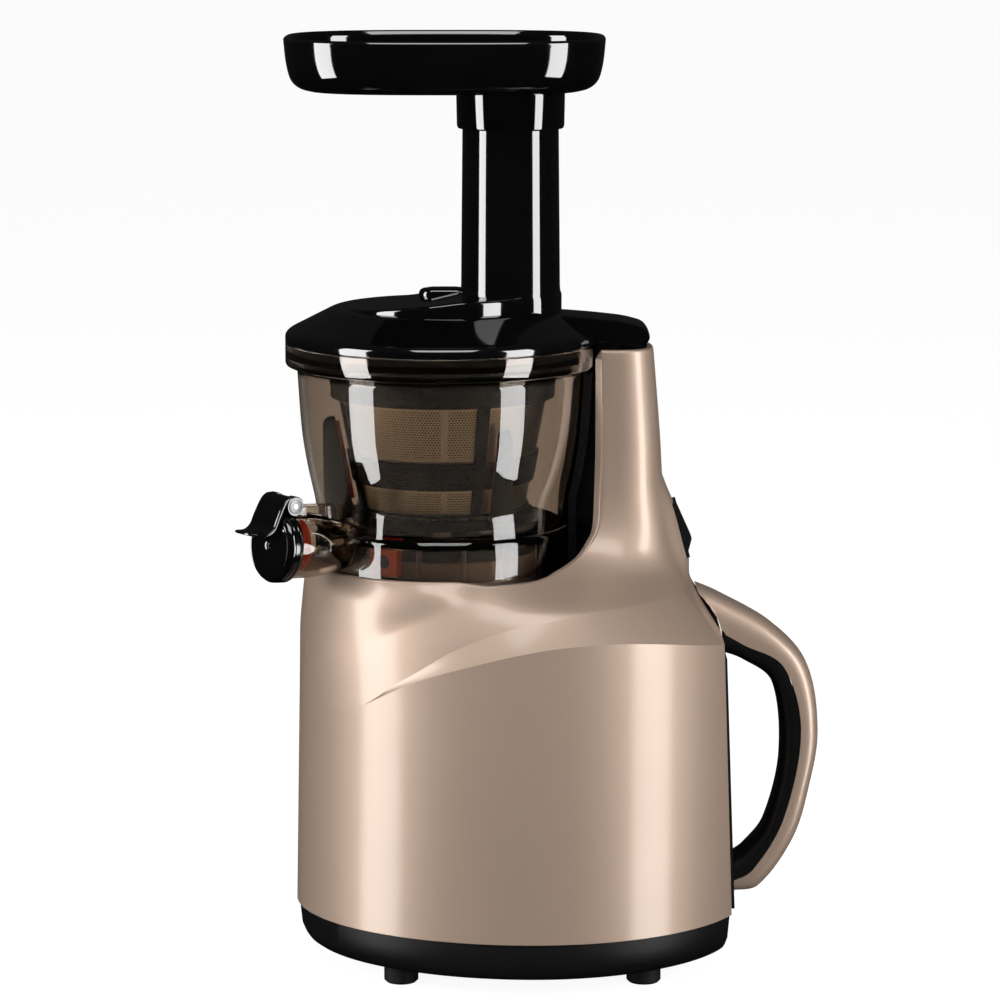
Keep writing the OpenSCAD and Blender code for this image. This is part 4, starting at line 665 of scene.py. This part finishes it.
def feed_tube():
    """Feed tube: rings up the outside from its foot's flare, over the lip and down the inside."""
    outside = [(LID_Z + 8, 0.9), (RAMP_TOP - 1, 0.9), (RAMP_TOP + 0.4, 0.35), (RAMP_TOP + 3, 0.15),
               (TUBE_TOP - 8, -0.6), (TUBE_TOP - 0.4, -0.6), (TUBE_TOP, -0.9)]
    inside = [(TUBE_TOP, -TUBE_WALL + 0.4), (TUBE_TOP - 0.4, -TUBE_WALL), (LID_Z + 8, -TUBE_WALL)]
    gloss_piece("feed_tube", *torus(np.array([tube_ring(grow, z) for z, grow in outside + inside])))


lid_cone()
lid_ramp()
lug()
knob()
feed_tube()


def tray_ring(inset, z):
    """Superellipse ring of the tray at a height above its floor, drawn in by inset."""
    a = circle(TRAY_COUNT)
    x = (TRAY_W / 2 - inset) * spow(np.cos(a), 2 / TRAY_POWER)
    y = TRAY_Y + (TRAY_L / 2 - inset) * spow(np.sin(a), 2 / TRAY_POWER)
    return np.stack([x, y, np.full(TRAY_COUNT, TRAY_Z + z)], -1)


def loading_tray():
    """Tray: rings up the outside, over a round lip, down the inside and along the floor to the mouth."""
    prof = np.array([(11, 0), (7.4, 1), (4.4, 3.2), (2.6, 6.5), (1.2, 13), (0.3, TRAY_D - 1)])
    t = np.linspace(0, 5, 26)
    out = np.stack([smooth(t, list(enumerate(prof[:, k]))) for k in range(2)], -1)
    lip = [(0.3 + LIP_R * (1 - math.cos(b)), TRAY_D - LIP_R + LIP_R * math.sin(b))
           for b in np.linspace(0.2, math.pi, 9)]
    ins = out[::-1][1:] + (TRAY_WALL, TRAY_WALL * 0.6)
    ins[:, 1] = np.maximum(ins[:, 1], TRAY_WALL)
    wall = [tray_ring(a, b) for a, b in np.concatenate([out, lip, ins])]
    mouth = tube_ring(-TUBE_WALL, TRAY_Z + MOUTH_H, TRAY_COUNT)
    floor = [mix(wall[-1], mouth, s) for s in (0.15, 0.4, 0.7, 0.9, 0.97)]
    under = [mouth - (0, 0, MOUTH_H), tube_ring(SOCKET_T, TRAY_Z, TRAY_COUNT)]
    g = np.array(wall + floor + [mouth] + under)
    gloss_piece("loading_tray", *torus(g), ("tray",), body="hopper_group")


def tray_socket():
    """Socket under the tray, which slips over the feed tube: rings down the outside and up the bore."""
    low = TRAY_Z - SOCKET_H
    outside = [(TRAY_Z + 0.5, SOCKET_T), (low + 1, 1.9), (low, 1.5)]
    bore = [(low, 0.3), (TRAY_Z - 0.1, 0.3), (TRAY_Z + 0.5, 0.3)]
    g = np.array([tube_ring(grow, z) for z, grow in outside + bore])
    gloss_piece("tray_socket", *torus(g, flip=True), body="hopper_group")


loading_tray()
tray_socket()


# ---------------------------------------------------------------- bowl, spouts and what shows through them
PEDESTAL_R, NEAR_AXIS = 45.0, 0.01
ROOT = PEDESTAL_R + 1.5
STEP_R, STEP_Z = FLANGE_R - 2.4, LID_Z - 6
SPOUT_PITCH = -5.0
HINGE_AT, HINGE_Z, FACE_AT = SPOUT_REACH - 3.4, SPOUT_Z + SPOUT_R + 3.6, SPOUT_REACH + 2.2
WEB_Y, WEB_HALF = 3.5, 1
RIB_STEP, RIB_HALF, RIB_GAP = 20, 0.9, 20
CAP_R = SPOUT_R + 1.8
BARREL_IN, BARREL_OUT = 4.95, 9.3
PAD_GAP, PAD_T, PAD_HALF = 1.2, 3.4, 19
# Bowl's wall: (height, outer radius). Juice spout: (distance from the bowl's axis, outer radius).
OUTER = [(FLOOR_Z - 4, COLLAR_R - 1.5), (FLOOR_Z + 9, BOWL_R - 8), (FLOOR_Z + 26, BOWL_R - 4.5),
         (FLOOR_Z + 42, BOWL_R - 2), (FLANGE_Z, BOWL_R)]
HORN = [(ROOT, 8.6), (53, 10.4), (60, 12.0), (68, 13.6), (74, 14.2), (88, 14.2)]
# Cap's lever, as (share of its length, value): distance in front of the hinge, height over the spout's axis,
# half width and half thickness.
LEVER_X = [(0, 2.1), (0.1, 2.9), (0.22, 4.2), (0.35, 6.0), (0.5, 8.6), (0.65, 11.0), (0.8, 15.0),
           (1, LEVER + 3.4)]
LEVER_Z = [(0, 21.8), (0.1, 21.4), (0.22, 20.3), (0.35, 17.8), (0.5, 13.0), (0.65, 8.6), (0.8, 6.6), (1, 7.6)]
LEVER_W = [(0, 8.6), (0.1, 9.2), (0.35, 9.4), (0.6, 9.6), (0.8, 9.0), (0.93, 7.2), (0.98, 5.0), (1, 2.6)]
LEVER_T = [(0, 0.7), (0.12, 0.8), (0.3, 1.3), (0.6, 1.2), (0.9, 0.9), (1, 0.5)]


def bowl_outer(z):
    return smooth(z, OUTER)


def turned(name, profile, turn=160):
    return solid(name, *lathe(profile, turn))


def rod(name, radius, start, end, angle, z):
    """Round rod pointing outwards in a direction at a height, with its ends closed."""
    return solid(name, *rings(radial(disc_rod([radius, radius], [start, end], 96), angle, z)))


def at_mouth(points):
    """Points given along the juice spout's axis, as (outwards, sideways, up), pitched down a little about
    the mouth's middle and turned to the spout's direction."""
    p = np.asarray(points, float)
    a = math.radians(SPOUT_PITCH)
    x, z = p[..., 0] - SPOUT_REACH, p[..., 2]
    out, up = SPOUT_REACH + x * math.cos(a) + z * math.sin(a), z * math.cos(a) - x * math.sin(a)
    return radial(np.stack([out, p[..., 1], up], -1), SPOUT_ANGLE, SPOUT_Z)


def horn(name, shrink, start, end):
    """Juice spout: circles across its axis whose radius follows HORN, less a given wall."""
    d = np.linspace(start, end, 28)
    return solid(name, *rings(at_mouth(disc_rod(smooth(d, HORN) - shrink, d, 128))))


def hinge_web(side):
    """Upright web along the top of the spout that ends in the hinge's ear: a filleted outline, 2 mm thick."""
    x, z = HINGE_AT, HINGE_Z
    pts = fillet([(53, SPOUT_Z + 6), (53, z - 3.2), (66, z - 2.4), (x - 4.5, z - 1.2), (x - 2.4, z + 2.4),
                  (x + 2.6, z + 2.6), (x + 2.6, z - 3), (x + 0.6, SPOUT_Z + 12.6), (x - 6, SPOUT_Z + 12.6)],
                 [0, 1, 8, 3, 2, 2.6, 1.5, 0, 0], 8)
    g = [np.stack([pts[:, 0], np.full(len(pts), side * WEB_Y + t), pts[:, 1]], -1)
         for t in (-WEB_HALF, WEB_HALF)]
    return solid("web", *rings(radial(np.array(g), SPOUT_ANGLE)))


def clear_bowl():
    """Bowl: one turned solid, hollowed above and below its floor, with its spouts and their bores."""
    z = np.linspace(FLOOR_Z + 0.8, FLANGE_Z - 1.6, 26)
    prof = [(NEAR_AXIS, COLLAR_Z), (COLLAR_R - 0.4, COLLAR_Z), (COLLAR_R, COLLAR_Z + 0.4),
            (COLLAR_R, FLOOR_Z - 1.4), (COLLAR_R - 0.5, FLOOR_Z - 0.2), *zip(bowl_outer(z), z),
            (BOWL_R + 0.6, FLANGE_Z - 0.4), (BOWL_R + 1.6, FLANGE_Z), (FLANGE_R - 1.2, FLANGE_Z),
            (FLANGE_R - 0.4, FLANGE_Z + 0.35), (FLANGE_R, FLANGE_Z + 1.2), (FLANGE_R, LID_Z - 0.3),
            (FLANGE_R - 0.3, LID_Z), (NEAR_AXIS, LID_Z)]
    body = turned("clear_bowl", prof)
    z = np.linspace(FLOOR_Z + 4, FLANGE_Z - 3, 22)
    r = bowl_outer(z) - BOWL_WALL
    inside = [(NEAR_AXIS, FLOOR_Z), (r[0] - 4, FLOOR_Z), (r[0] - 2, FLOOR_Z + 0.5),
              (r[0] - 0.6, FLOOR_Z + 1.8), *zip(r, z), (BOWL_R - BOWL_WALL + 0.4, STEP_Z), (STEP_R, STEP_Z),
              (STEP_R, LID_Z + 3), (NEAR_AXIS, LID_Z + 3)]
    roof, skirt = FLOOR_Z - FLOOR_T, COLLAR_R - 2.4
    under = [(NEAR_AXIS, COLLAR_Z - 2), (skirt, COLLAR_Z - 2), (skirt, roof - 0.6), (COLLAR_R - 3, roof),
             (NEAR_AXIS, roof)]
    hub = [(NEAR_AXIS, FLOOR_Z - 8), (9, FLOOR_Z - 8), (9, FLOOR_Z + 4), (NEAR_AXIS, FLOOR_Z + 4)]
    bore, bore_from = PULP_R - BOWL_WALL, ROOT + BOWL_WALL
    carve(body, [("DIFFERENCE", turned("under", under)),
                 ("UNION", horn("spout", 0, ROOT, SPOUT_REACH)),
                 ("UNION", rod("pulp", PULP_R, ROOT, PULP_REACH, -PULP_ANGLE, PULP_Z)),
                 ("UNION", hinge_web(-1)), ("UNION", hinge_web(1)),
                 ("DIFFERENCE", turned("inside", inside)),
                 ("DIFFERENCE", horn("bore", BOWL_WALL, bore_from, SPOUT_REACH + 1)),
                 ("DIFFERENCE", rod("bore", bore, bore_from, PULP_REACH + 1, -PULP_ANGLE, PULP_Z)),
                 ("DIFFERENCE", turned("hub", hub, 64))])
    dress(body, CLEAR, "bowl_group", ("bowl", "juice_spout", "pulp_spout"), 30)


def ribs():
    """Short upright ribs on the inside of the collar, each a rounded bar, with none at the juice spout."""
    out_v, out_f, base = [], [], 0
    deep, face = COLLAR_R - 4.4, COLLAR_R - 2.42
    edge = [(deep, -RIB_HALF), (face, -RIB_HALF), (face, RIB_HALF), (deep, RIB_HALF)]
    bar = fillet(edge, [0.5, 0, 0, 0.5], 4)
    for turn in range(RIB_STEP // 2, 360, RIB_STEP):
        if abs((turn - (SPOUT_ANGLE - 90)) % 360 - 180) > 180 - RIB_GAP:
            continue
        c, s = math.cos(math.radians(turn)), math.sin(math.radians(turn))
        x, y = bar[:, 0] * c - bar[:, 1] * s, bar[:, 0] * s + bar[:, 1] * c
        levels = (COLLAR_Z + 0.3, FLOOR_Z - FLOOR_T - 0.1)
        v, f = rings(np.array([np.stack([x, y, np.full_like(x, z)], -1) for z in levels]))
        out_v.append(v)
        out_f += [[i + base for i in q] for q in f]
        base += len(v)
    finish_mesh("collar_ribs", np.concatenate(out_v), out_f, CLEAR, "bowl_group", "smoke_clear", (), 40)


def saddle_pad():
    """Dark pad of the rest behind the bowl: a strip of even thickness whose inner face keeps a small gap off
    the bowl or its collar, whichever is wider at that height."""
    z = np.concatenate([[COLLAR_Z + 1, FLOOR_Z], np.linspace(FLOOR_Z + 1, FLANGE_Z - 1.5, 24)])
    near = np.maximum(np.where(z <= FLOOR_Z, COLLAR_R, bowl_outer(z)), COLLAR_R) + PAD_GAP
    a = np.radians(np.linspace(-PAD_HALF, PAD_HALF, 40))
    inner = near[:, None, None] * np.stack([np.sin(a), np.cos(a)], -1)
    outer = (near + PAD_T)[:, None, None] * np.stack([np.sin(a[::-1]), np.cos(a[::-1])], -1)
    flat = np.concatenate([inner, outer], 1)
    g = np.concatenate([flat, np.broadcast_to(z[:, None, None], (*flat.shape[:2], 1))], -1)
    finish_mesh("saddle_pad", *rings(g), SATIN, "base", "satin_black", (), 40)


def cap_face():
    """Cap's face and skirt, turned about the spout's axis, with two grooves round its rim."""
    r, x = CAP_R, FACE_AT
    prof = [(NEAR_AXIS, x + 1.9), (0.9, x + 1.9), (1.3, x + 1.5), (1.8, x + 1.5), (2.2, x + 2.1),
            (2.8, x + 2.4), (r - 3.4, x + 2.4), (r - 2.8, x + 2.0), (r - 2.4, x + 2.0), (r - 1.9, x + 2.2),
            (r - 0.9, x + 1.6), (r - 0.1, x + 0.4), (r, x - 0.4), (r - 0.25, x - 0.7), (r - 0.25, x - 1.1),
            (r, x - 1.4), (r, x - 2.6), (r - 0.25, x - 2.9), (r - 0.25, x - 3.3), (r, x - 3.6),
            (r, SPOUT_REACH - 2.4), (r - 0.3, SPOUT_REACH - 3.0), (SPOUT_R + 0.45, SPOUT_REACH - 3.0),
            (SPOUT_R + 0.4, x - 0.1), (NEAR_AXIS, x)]
    g = at_mouth(disc_rod(*zip(*prof), 160))
    faces = quads(len(g), g.shape[1], wrap_c=True, flip=True)
    gloss_piece("cap_face", g.reshape(-1, 3), faces, ("juice_cap",), 28, "cap_group")


def hinge_disc(name, rows, side, finish, body, slot):
    """Rings round the hinge's axis, each (radius, distance to the side), with the ends closed."""
    a = circle(64)
    g = [np.stack([HINGE_AT + r * np.cos(a), np.full_like(a, y), HINGE_Z + r * np.sin(a)], -1)
         for r, y in rows]
    finish_mesh(name, *rings(radial(np.array(g), SPOUT_ANGLE), flip=side > 0), finish, body, slot)


def cap_hinge():
    """The cap's barrel, in a half on each side of the webs, and the end of the steel pin in each half."""
    for s, side in ((-1, "left"), (1, "right")):
        y0, y1 = BARREL_IN * s, BARREL_OUT * s
        barrel = [(4.0, y0), (4.3, y0 + 0.3 * s), (4.3, y1 - 0.4 * s), (3.9, y1)]
        hinge_disc("cap_barrel_" + side, barrel, s, GLOSS, "cap_group", "gloss_black")
        pin = [(3.2, y1 - 0.1 * s), (3.2, y1 + 0.25 * s), (2.7, y1 + 0.4 * s), (0.9, y1 + 0.4 * s),
               (0.7, y1 + 0.15 * s)]
        hinge_disc("pin_end_" + side, pin, s, PIN, "bowl_group", "steel")


def cap_lever():
    """Lever: a flat rounded section carried along a curve that leaves the barrel in front of its top, falls
    over the face and flares out to a thin tip."""
    t = np.linspace(0, 1, 60)
    x, z = HINGE_AT + smooth(t, LEVER_X), SPOUT_Z + smooth(t, LEVER_Z)
    w, k = smooth(t, LEVER_W)[:, None], smooth(t, LEVER_T)[:, None]
    dx, dz = np.gradient(x), np.gradient(z)
    length = np.hypot(dx, dz)
    nx, nz = (-dz / length)[:, None], (dx / length)[:, None]
    a = circle(40)
    side, up = spow(np.cos(a), 0.35), spow(np.sin(a), 0.6)
    g = np.stack([x[:, None] + nx * k * up, w * side, z[:, None] + nz * k * up], -1)
    gloss_piece("cap_lever", *rings(radial(g, SPOUT_ANGLE), flip=True), (), 45, "cap_group")


def spout_seal():
    """Seal inside the spout's mouth: a turned ring with two lips against the wall."""
    r, x = SPOUT_R - BOWL_WALL - 0.05, SPOUT_REACH
    edge = [(r - 2.2, x - 9.5), (r, x - 9.3), (r, x - 7.4), (r - 0.9, x - 6.8), (r - 0.9, x - 5.4),
            (r, x - 4.8), (r, x - 2.6), (r - 2.2, x - 2.4)]
    prof = fillet(edge, [0.5, 0.6, 0.6, 0.4, 0.4, 0.6, 0.6, 0.5], 5)
    g = at_mouth(disc_rod(prof[:, 0], prof[:, 1], 128))
    finish_mesh("spout_ring", *torus(g), SILICONE, "bowl_group", "silicone", (), 40)


def pedestal_sleeve():
    """Lacquered ring round the foot of the pedestal under the bowl: a lathed band with eased edges."""
    z0, z1, r0, r1 = SEAT_Z - 8.4, COLLAR_Z + 6.4, PEDESTAL_R + 0.02, PEDESTAL_R + 1.3
    prof = fillet([(r0, z0), (r1, z0), (r1, z1), (r0, z1)], [0, 0.3, 0.7, 0], 5)
    finish_mesh("pedestal_sleeve", *lathe(prof), LACQUER, "base", "champagne")


clear_bowl()
ribs()
saddle_pad()
cap_face()
cap_hinge()
cap_lever()
spout_seal()
pedestal_sleeve()


# ---------------------------------------------------------------- handle and base cover
# The handle's lines in side view: (share of the way down, share of the handle's reach, height over the seam).
H_OUTER = [(0, -0.4, 142.5), (0.05, -0.16, 138.5), (0.17, 0.44, 125), (0.31, 0.863, 106.5),
           (0.48, 0.997, 76.8), (0.635, 0.904, 50.7), (0.78, 0.729, 27.3), (0.93, 0.339, 5.6),
           (1, 0.036, 3.4)]
H_SEAM = [(0, -0.21, 124.5), (0.1, 0.127, 116.9), (0.28, 0.592, 106.5), (0.47, 0.792, 77.8),
          (0.71, 0.613, 38.3), (0.9, 0.27, 14.5), (1, 0.036, 9)]
H_INNER = [(0, -0.16, 113), (0.1, 0.129, 109), (0.26, 0.471, 98.3), (0.53, 0.567, 64.7), (0.76, 0.397, 34.7),
           (0.88, 0.185, 23.6), (1, 0.036, 19)]
GRIP_POWER, GRIP_INSET, GRIP_LIFT, HANDLE_BEVEL = 0.6, 0.8, 0.3, 0.5
TOWER_OFF, PANEL_OFF = 0.4, 1.75


def half_section(a, b, width, n=28):
    """Half-round sections from the flat side a to the crown b, each row one section: sideways a power of the
    cosine, outwards the same power of the sine."""
    t = np.linspace(0, np.pi, n)
    k = np.sin(t) ** GRIP_POWER
    x = width / 2 * spow(np.cos(t), GRIP_POWER)
    yz = a[:, None, :] + (b - a)[:, None, :] * k[None, :, None]
    return np.concatenate([np.broadcast_to(x[None, :, None], (len(a), n, 1)), yz], -1)


def curve(line, t):
    """Points (y, z) of one of the handle's lines at the shares t."""
    out, up = ([(p[0], p[k]) for p in line] for k in (1, 2))
    return np.stack([BODY_REAR + HANDLE_REACH * smooth(t, out), BASE_Z + smooth(t, up)], -1)


def back_face(z):
    """Where the handle may start at a height: just off the tower, or off the flat back and its panel."""
    panel = BODY_REAR - (z - BASE_Z) * BACK_DRAW / DRUM_H + PANEL_OFF
    return np.where(z > S + REAR_CREASE, smooth(z, BACK) + TOWER_OFF, panel)


def handle_half(name, crown, width, lift, finish, slot, node, inner):
    """One half of the handle: sections from the seam, or as far off it as lift says, to the crown's line."""
    t = np.linspace(0, 1, 120)
    b, c = curve(crown, t), curve(H_SEAM, t)
    d = b - c
    a = c + d / np.maximum(np.linalg.norm(d, axis=1, keepdims=True), 1) * lift
    g = half_section(a, b, width)
    g[..., 1] = np.maximum(g[..., 1], back_face(g[..., 2]))
    finish_mesh(name, *rings(g, flip=not inner), finish, "base", slot, (node,), 50, HANDLE_BEVEL)


def base_cover():
    """Base cover: the drum's outline drawn in, ring by ring, from the seam down round the bottom edge."""
    theta = smooth(np.linspace(0, 1, 169), CREASE)
    line = drum(theta, np.full_like(theta, BASE_Z))
    levels = [(BASE_Z - 0.3, 1.2), (BASE_Z - 0.8, 0.9), (FOOT_H + 7, 1.7), (FOOT_H + 4, 2.7),
              (FOOT_H + 2.2, 3.7), (FOOT_H + 0.9, 5.2), (FOOT_H + 0.2, 7.0), (FOOT_H, 9.0), (FOOT_H, 40.0)]
    rows = []
    for z, inset in levels:
        k = 1 - inset / (BODY_W / 2)
        x, y = line[:, 0] * k, BODY_MID + (line[:, 1] - BODY_MID) * k
        rows.append(np.stack([x, y, np.full(len(line), z)], -1))
    g = both_sides(np.array(rows))
    finish_mesh("base_tub", *rings(g, flip=True), TUB, "base", "gloss_black", ("base_cover",), 40)


handle_half("handle_back", H_OUTER, HANDLE_W, 0, LACQUER, "champagne", "handle_shell", False)
handle_half("handle_pad", H_INNER, HANDLE_W - GRIP_INSET, GRIP_LIFT, GRIP, "satin_black", "handle_grip", True)
base_cover()


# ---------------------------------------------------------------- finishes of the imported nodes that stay
CARRIED = {
    SATIN: "cradle rear_panel cord_bush switch_bezel switch_rocker interlock fan",
    INNER: "strainer_frame auger brush_cage",
    SILICONE: "cap_seal pulp_plug wipers",
    RUBBER: "feet motor_mount bowl_gasket shaft_seal plug_peg lid_seal",
    STEEL: "handle_screws hinge_pin idler_pegs case_screws motor_pinion mid_shaft drive_shaft motor_bearings "
           "motor_brackets motor_case",
    SIEVE: "strainer_mesh",
    NYLON: "idler_a idler_b first_wheel second_wheel lid_bush",
    CAST: "gearbox_case gearbox_cover",
    BRONZE: "output_bearing mid_bushes",
    WINDING: "stator rotor",
    BOARD: "control_board",
}
for finish, names in CARRIED.items():
    for name in names.split():
        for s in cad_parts[name].material_slots:
            s.material = finish


# ---------------------------------------------------------------- studio, in metres
FLOOR_X, FLOOR_Y, FLOOR_COUNT, FLOOR_GLOW, GLOW_SHARE = (-24, 4), (-9, 9), 64, 1.16, 0.8
GLOSS_LEVEL, GLOSS_RISE, FILL_LEVEL = 0.004, 0.05, 0.25
BOXES = [("left_box", (0.66, -1.57, 0.30), 0.22, (0.68, 1.9), 58),
         ("right_box", (0.90, 1.41, 0.30), 0.22, (0.66, 1.9), 54),
         ("top_box", (0.9, 0.0, 1.5), 0.2, (1.0, 0.7), 16)]
CAMERA_X, CAMERA_Y, CAMERA_Z, CAMERA_DOWN = 1.700, (25.2 + SHIFT) / 1000, 0.4881, 9.455
LENS, SENSOR, SIGHT = 140.4, 36, 60


def seen_directly(kit, rays):
    """1 for camera rays and for rays through glass that have met no reflection or bounce, else 0."""
    turned = Value(kit, rays.outputs["Glossy Depth"]) + Value(kit, rays.outputs["Diffuse Depth"])
    through = Value(kit, rays.outputs["Is Transmission Ray"]) * (turned < 0.5)
    return Value(kit, rays.outputs["Is Camera Ray"]).fn("MAXIMUM", through)


def floor_card():
    """Pale floor. Seen directly it is mostly a white glow; the rest is shaded, so that it shows a shadow."""
    n = FLOOR_COUNT
    x, y = np.meshgrid(np.linspace(*FLOOR_X, n), np.linspace(*FLOOR_Y, n), indexing="ij")
    me = bpy.data.meshes.new("floor")
    me.from_pydata(np.stack([x, y, 0 * x], -1).reshape(-1, 3).tolist(), [], quads(n, n))
    floor = bpy.data.objects.new("floor", me)
    bpy.context.collection.objects.link(floor)
    f = Finish("floor_card", Base_Color=(0.85, 0.85, 0.85, 1), Roughness=0.6)
    me.materials.append(f.mat)
    share = seen_directly(f, f.tree.nodes.new("ShaderNodeLightPath")) * GLOW_SHARE
    glow = f.add("ShaderNodeEmission", {}, {"Color": (1, 1, 1, 1), "Strength": FLOOR_GLOW})
    both = f.add("ShaderNodeMixShader", {}, [share, Value(f, f.bsdf.outputs[0]), glow])
    f.tree.links.new(both.socket, f.tree.nodes["Material Output"].inputs[0])
    floor.visible_glossy = False


def surroundings():
    """World: white where it is seen directly, nearly black in reflections, a little lighter higher up, and a
    dim even light on everything else."""
    world = bpy.data.worlds.new("studio")
    bpy.context.scene.world = world
    world.use_nodes = True
    kit = Kit(world.node_tree)
    rays = kit.tree.nodes.new("ShaderNodeLightPath")
    seen = seen_directly(kit, rays)
    gloss, through = (Value(kit, rays.outputs[s]) for s in ("Is Glossy Ray", "Is Transmission Ray"))
    gloss = gloss.fn("MAXIMUM", through * (Value(kit, rays.outputs["Glossy Depth"]) > 0.5))
    up = (kit.split(kit.add("ShaderNodeTexCoord", out=0), 2) * 0.5 + 0.2).clamp()
    level = seen + (1 - seen) * (gloss * (up * GLOSS_RISE + GLOSS_LEVEL) + (1 - gloss) * FILL_LEVEL)
    back = kit.tree.nodes["Background"]
    kit.tree.links.new(level.clamp().socket, back.inputs["Strength"])
    back.inputs["Color"].default_value = (1, 1, 1, 1)


def soft_box(name, where, aim_height, size, power):
    """Rectangular area light turned towards a point on the z axis."""
    light = bpy.data.lights.new(name, "AREA")
    light.shape, light.size, light.size_y, light.energy = "RECTANGLE", *size, power
    ob = bpy.data.objects.new(name, light)
    bpy.context.collection.objects.link(ob)
    ob.location = where
    d = np.array((0, 0, aim_height), float) - np.array(where, float)
    d /= np.linalg.norm(d)
    yaw, pitch = math.atan2(d[1], d[0]), math.asin(d[2])
    ob.rotation_euler = (math.pi / 2 + pitch, 0, yaw - math.pi / 2)


def camera():
    """Camera on the +x side, which looks along -x and a little down."""
    cam = bpy.data.objects.new("camera", bpy.data.cameras.new("camera"))
    bpy.context.collection.objects.link(cam)
    cam.data.lens, cam.data.sensor_width, cam.data.sensor_fit = LENS, SENSOR, "AUTO"
    cam.data.clip_end = SIGHT
    cam.location = (CAMERA_X, CAMERA_Y, CAMERA_Z)
    cam.rotation_euler = (math.radians(90 - CAMERA_DOWN), 0, math.radians(90))
    bpy.context.scene.camera = cam


floor_card()
surroundings()
for lamp in BOXES:
    soft_box(*lamp)
camera()
bpy.context.scene.view_settings.view_transform = "Standard"
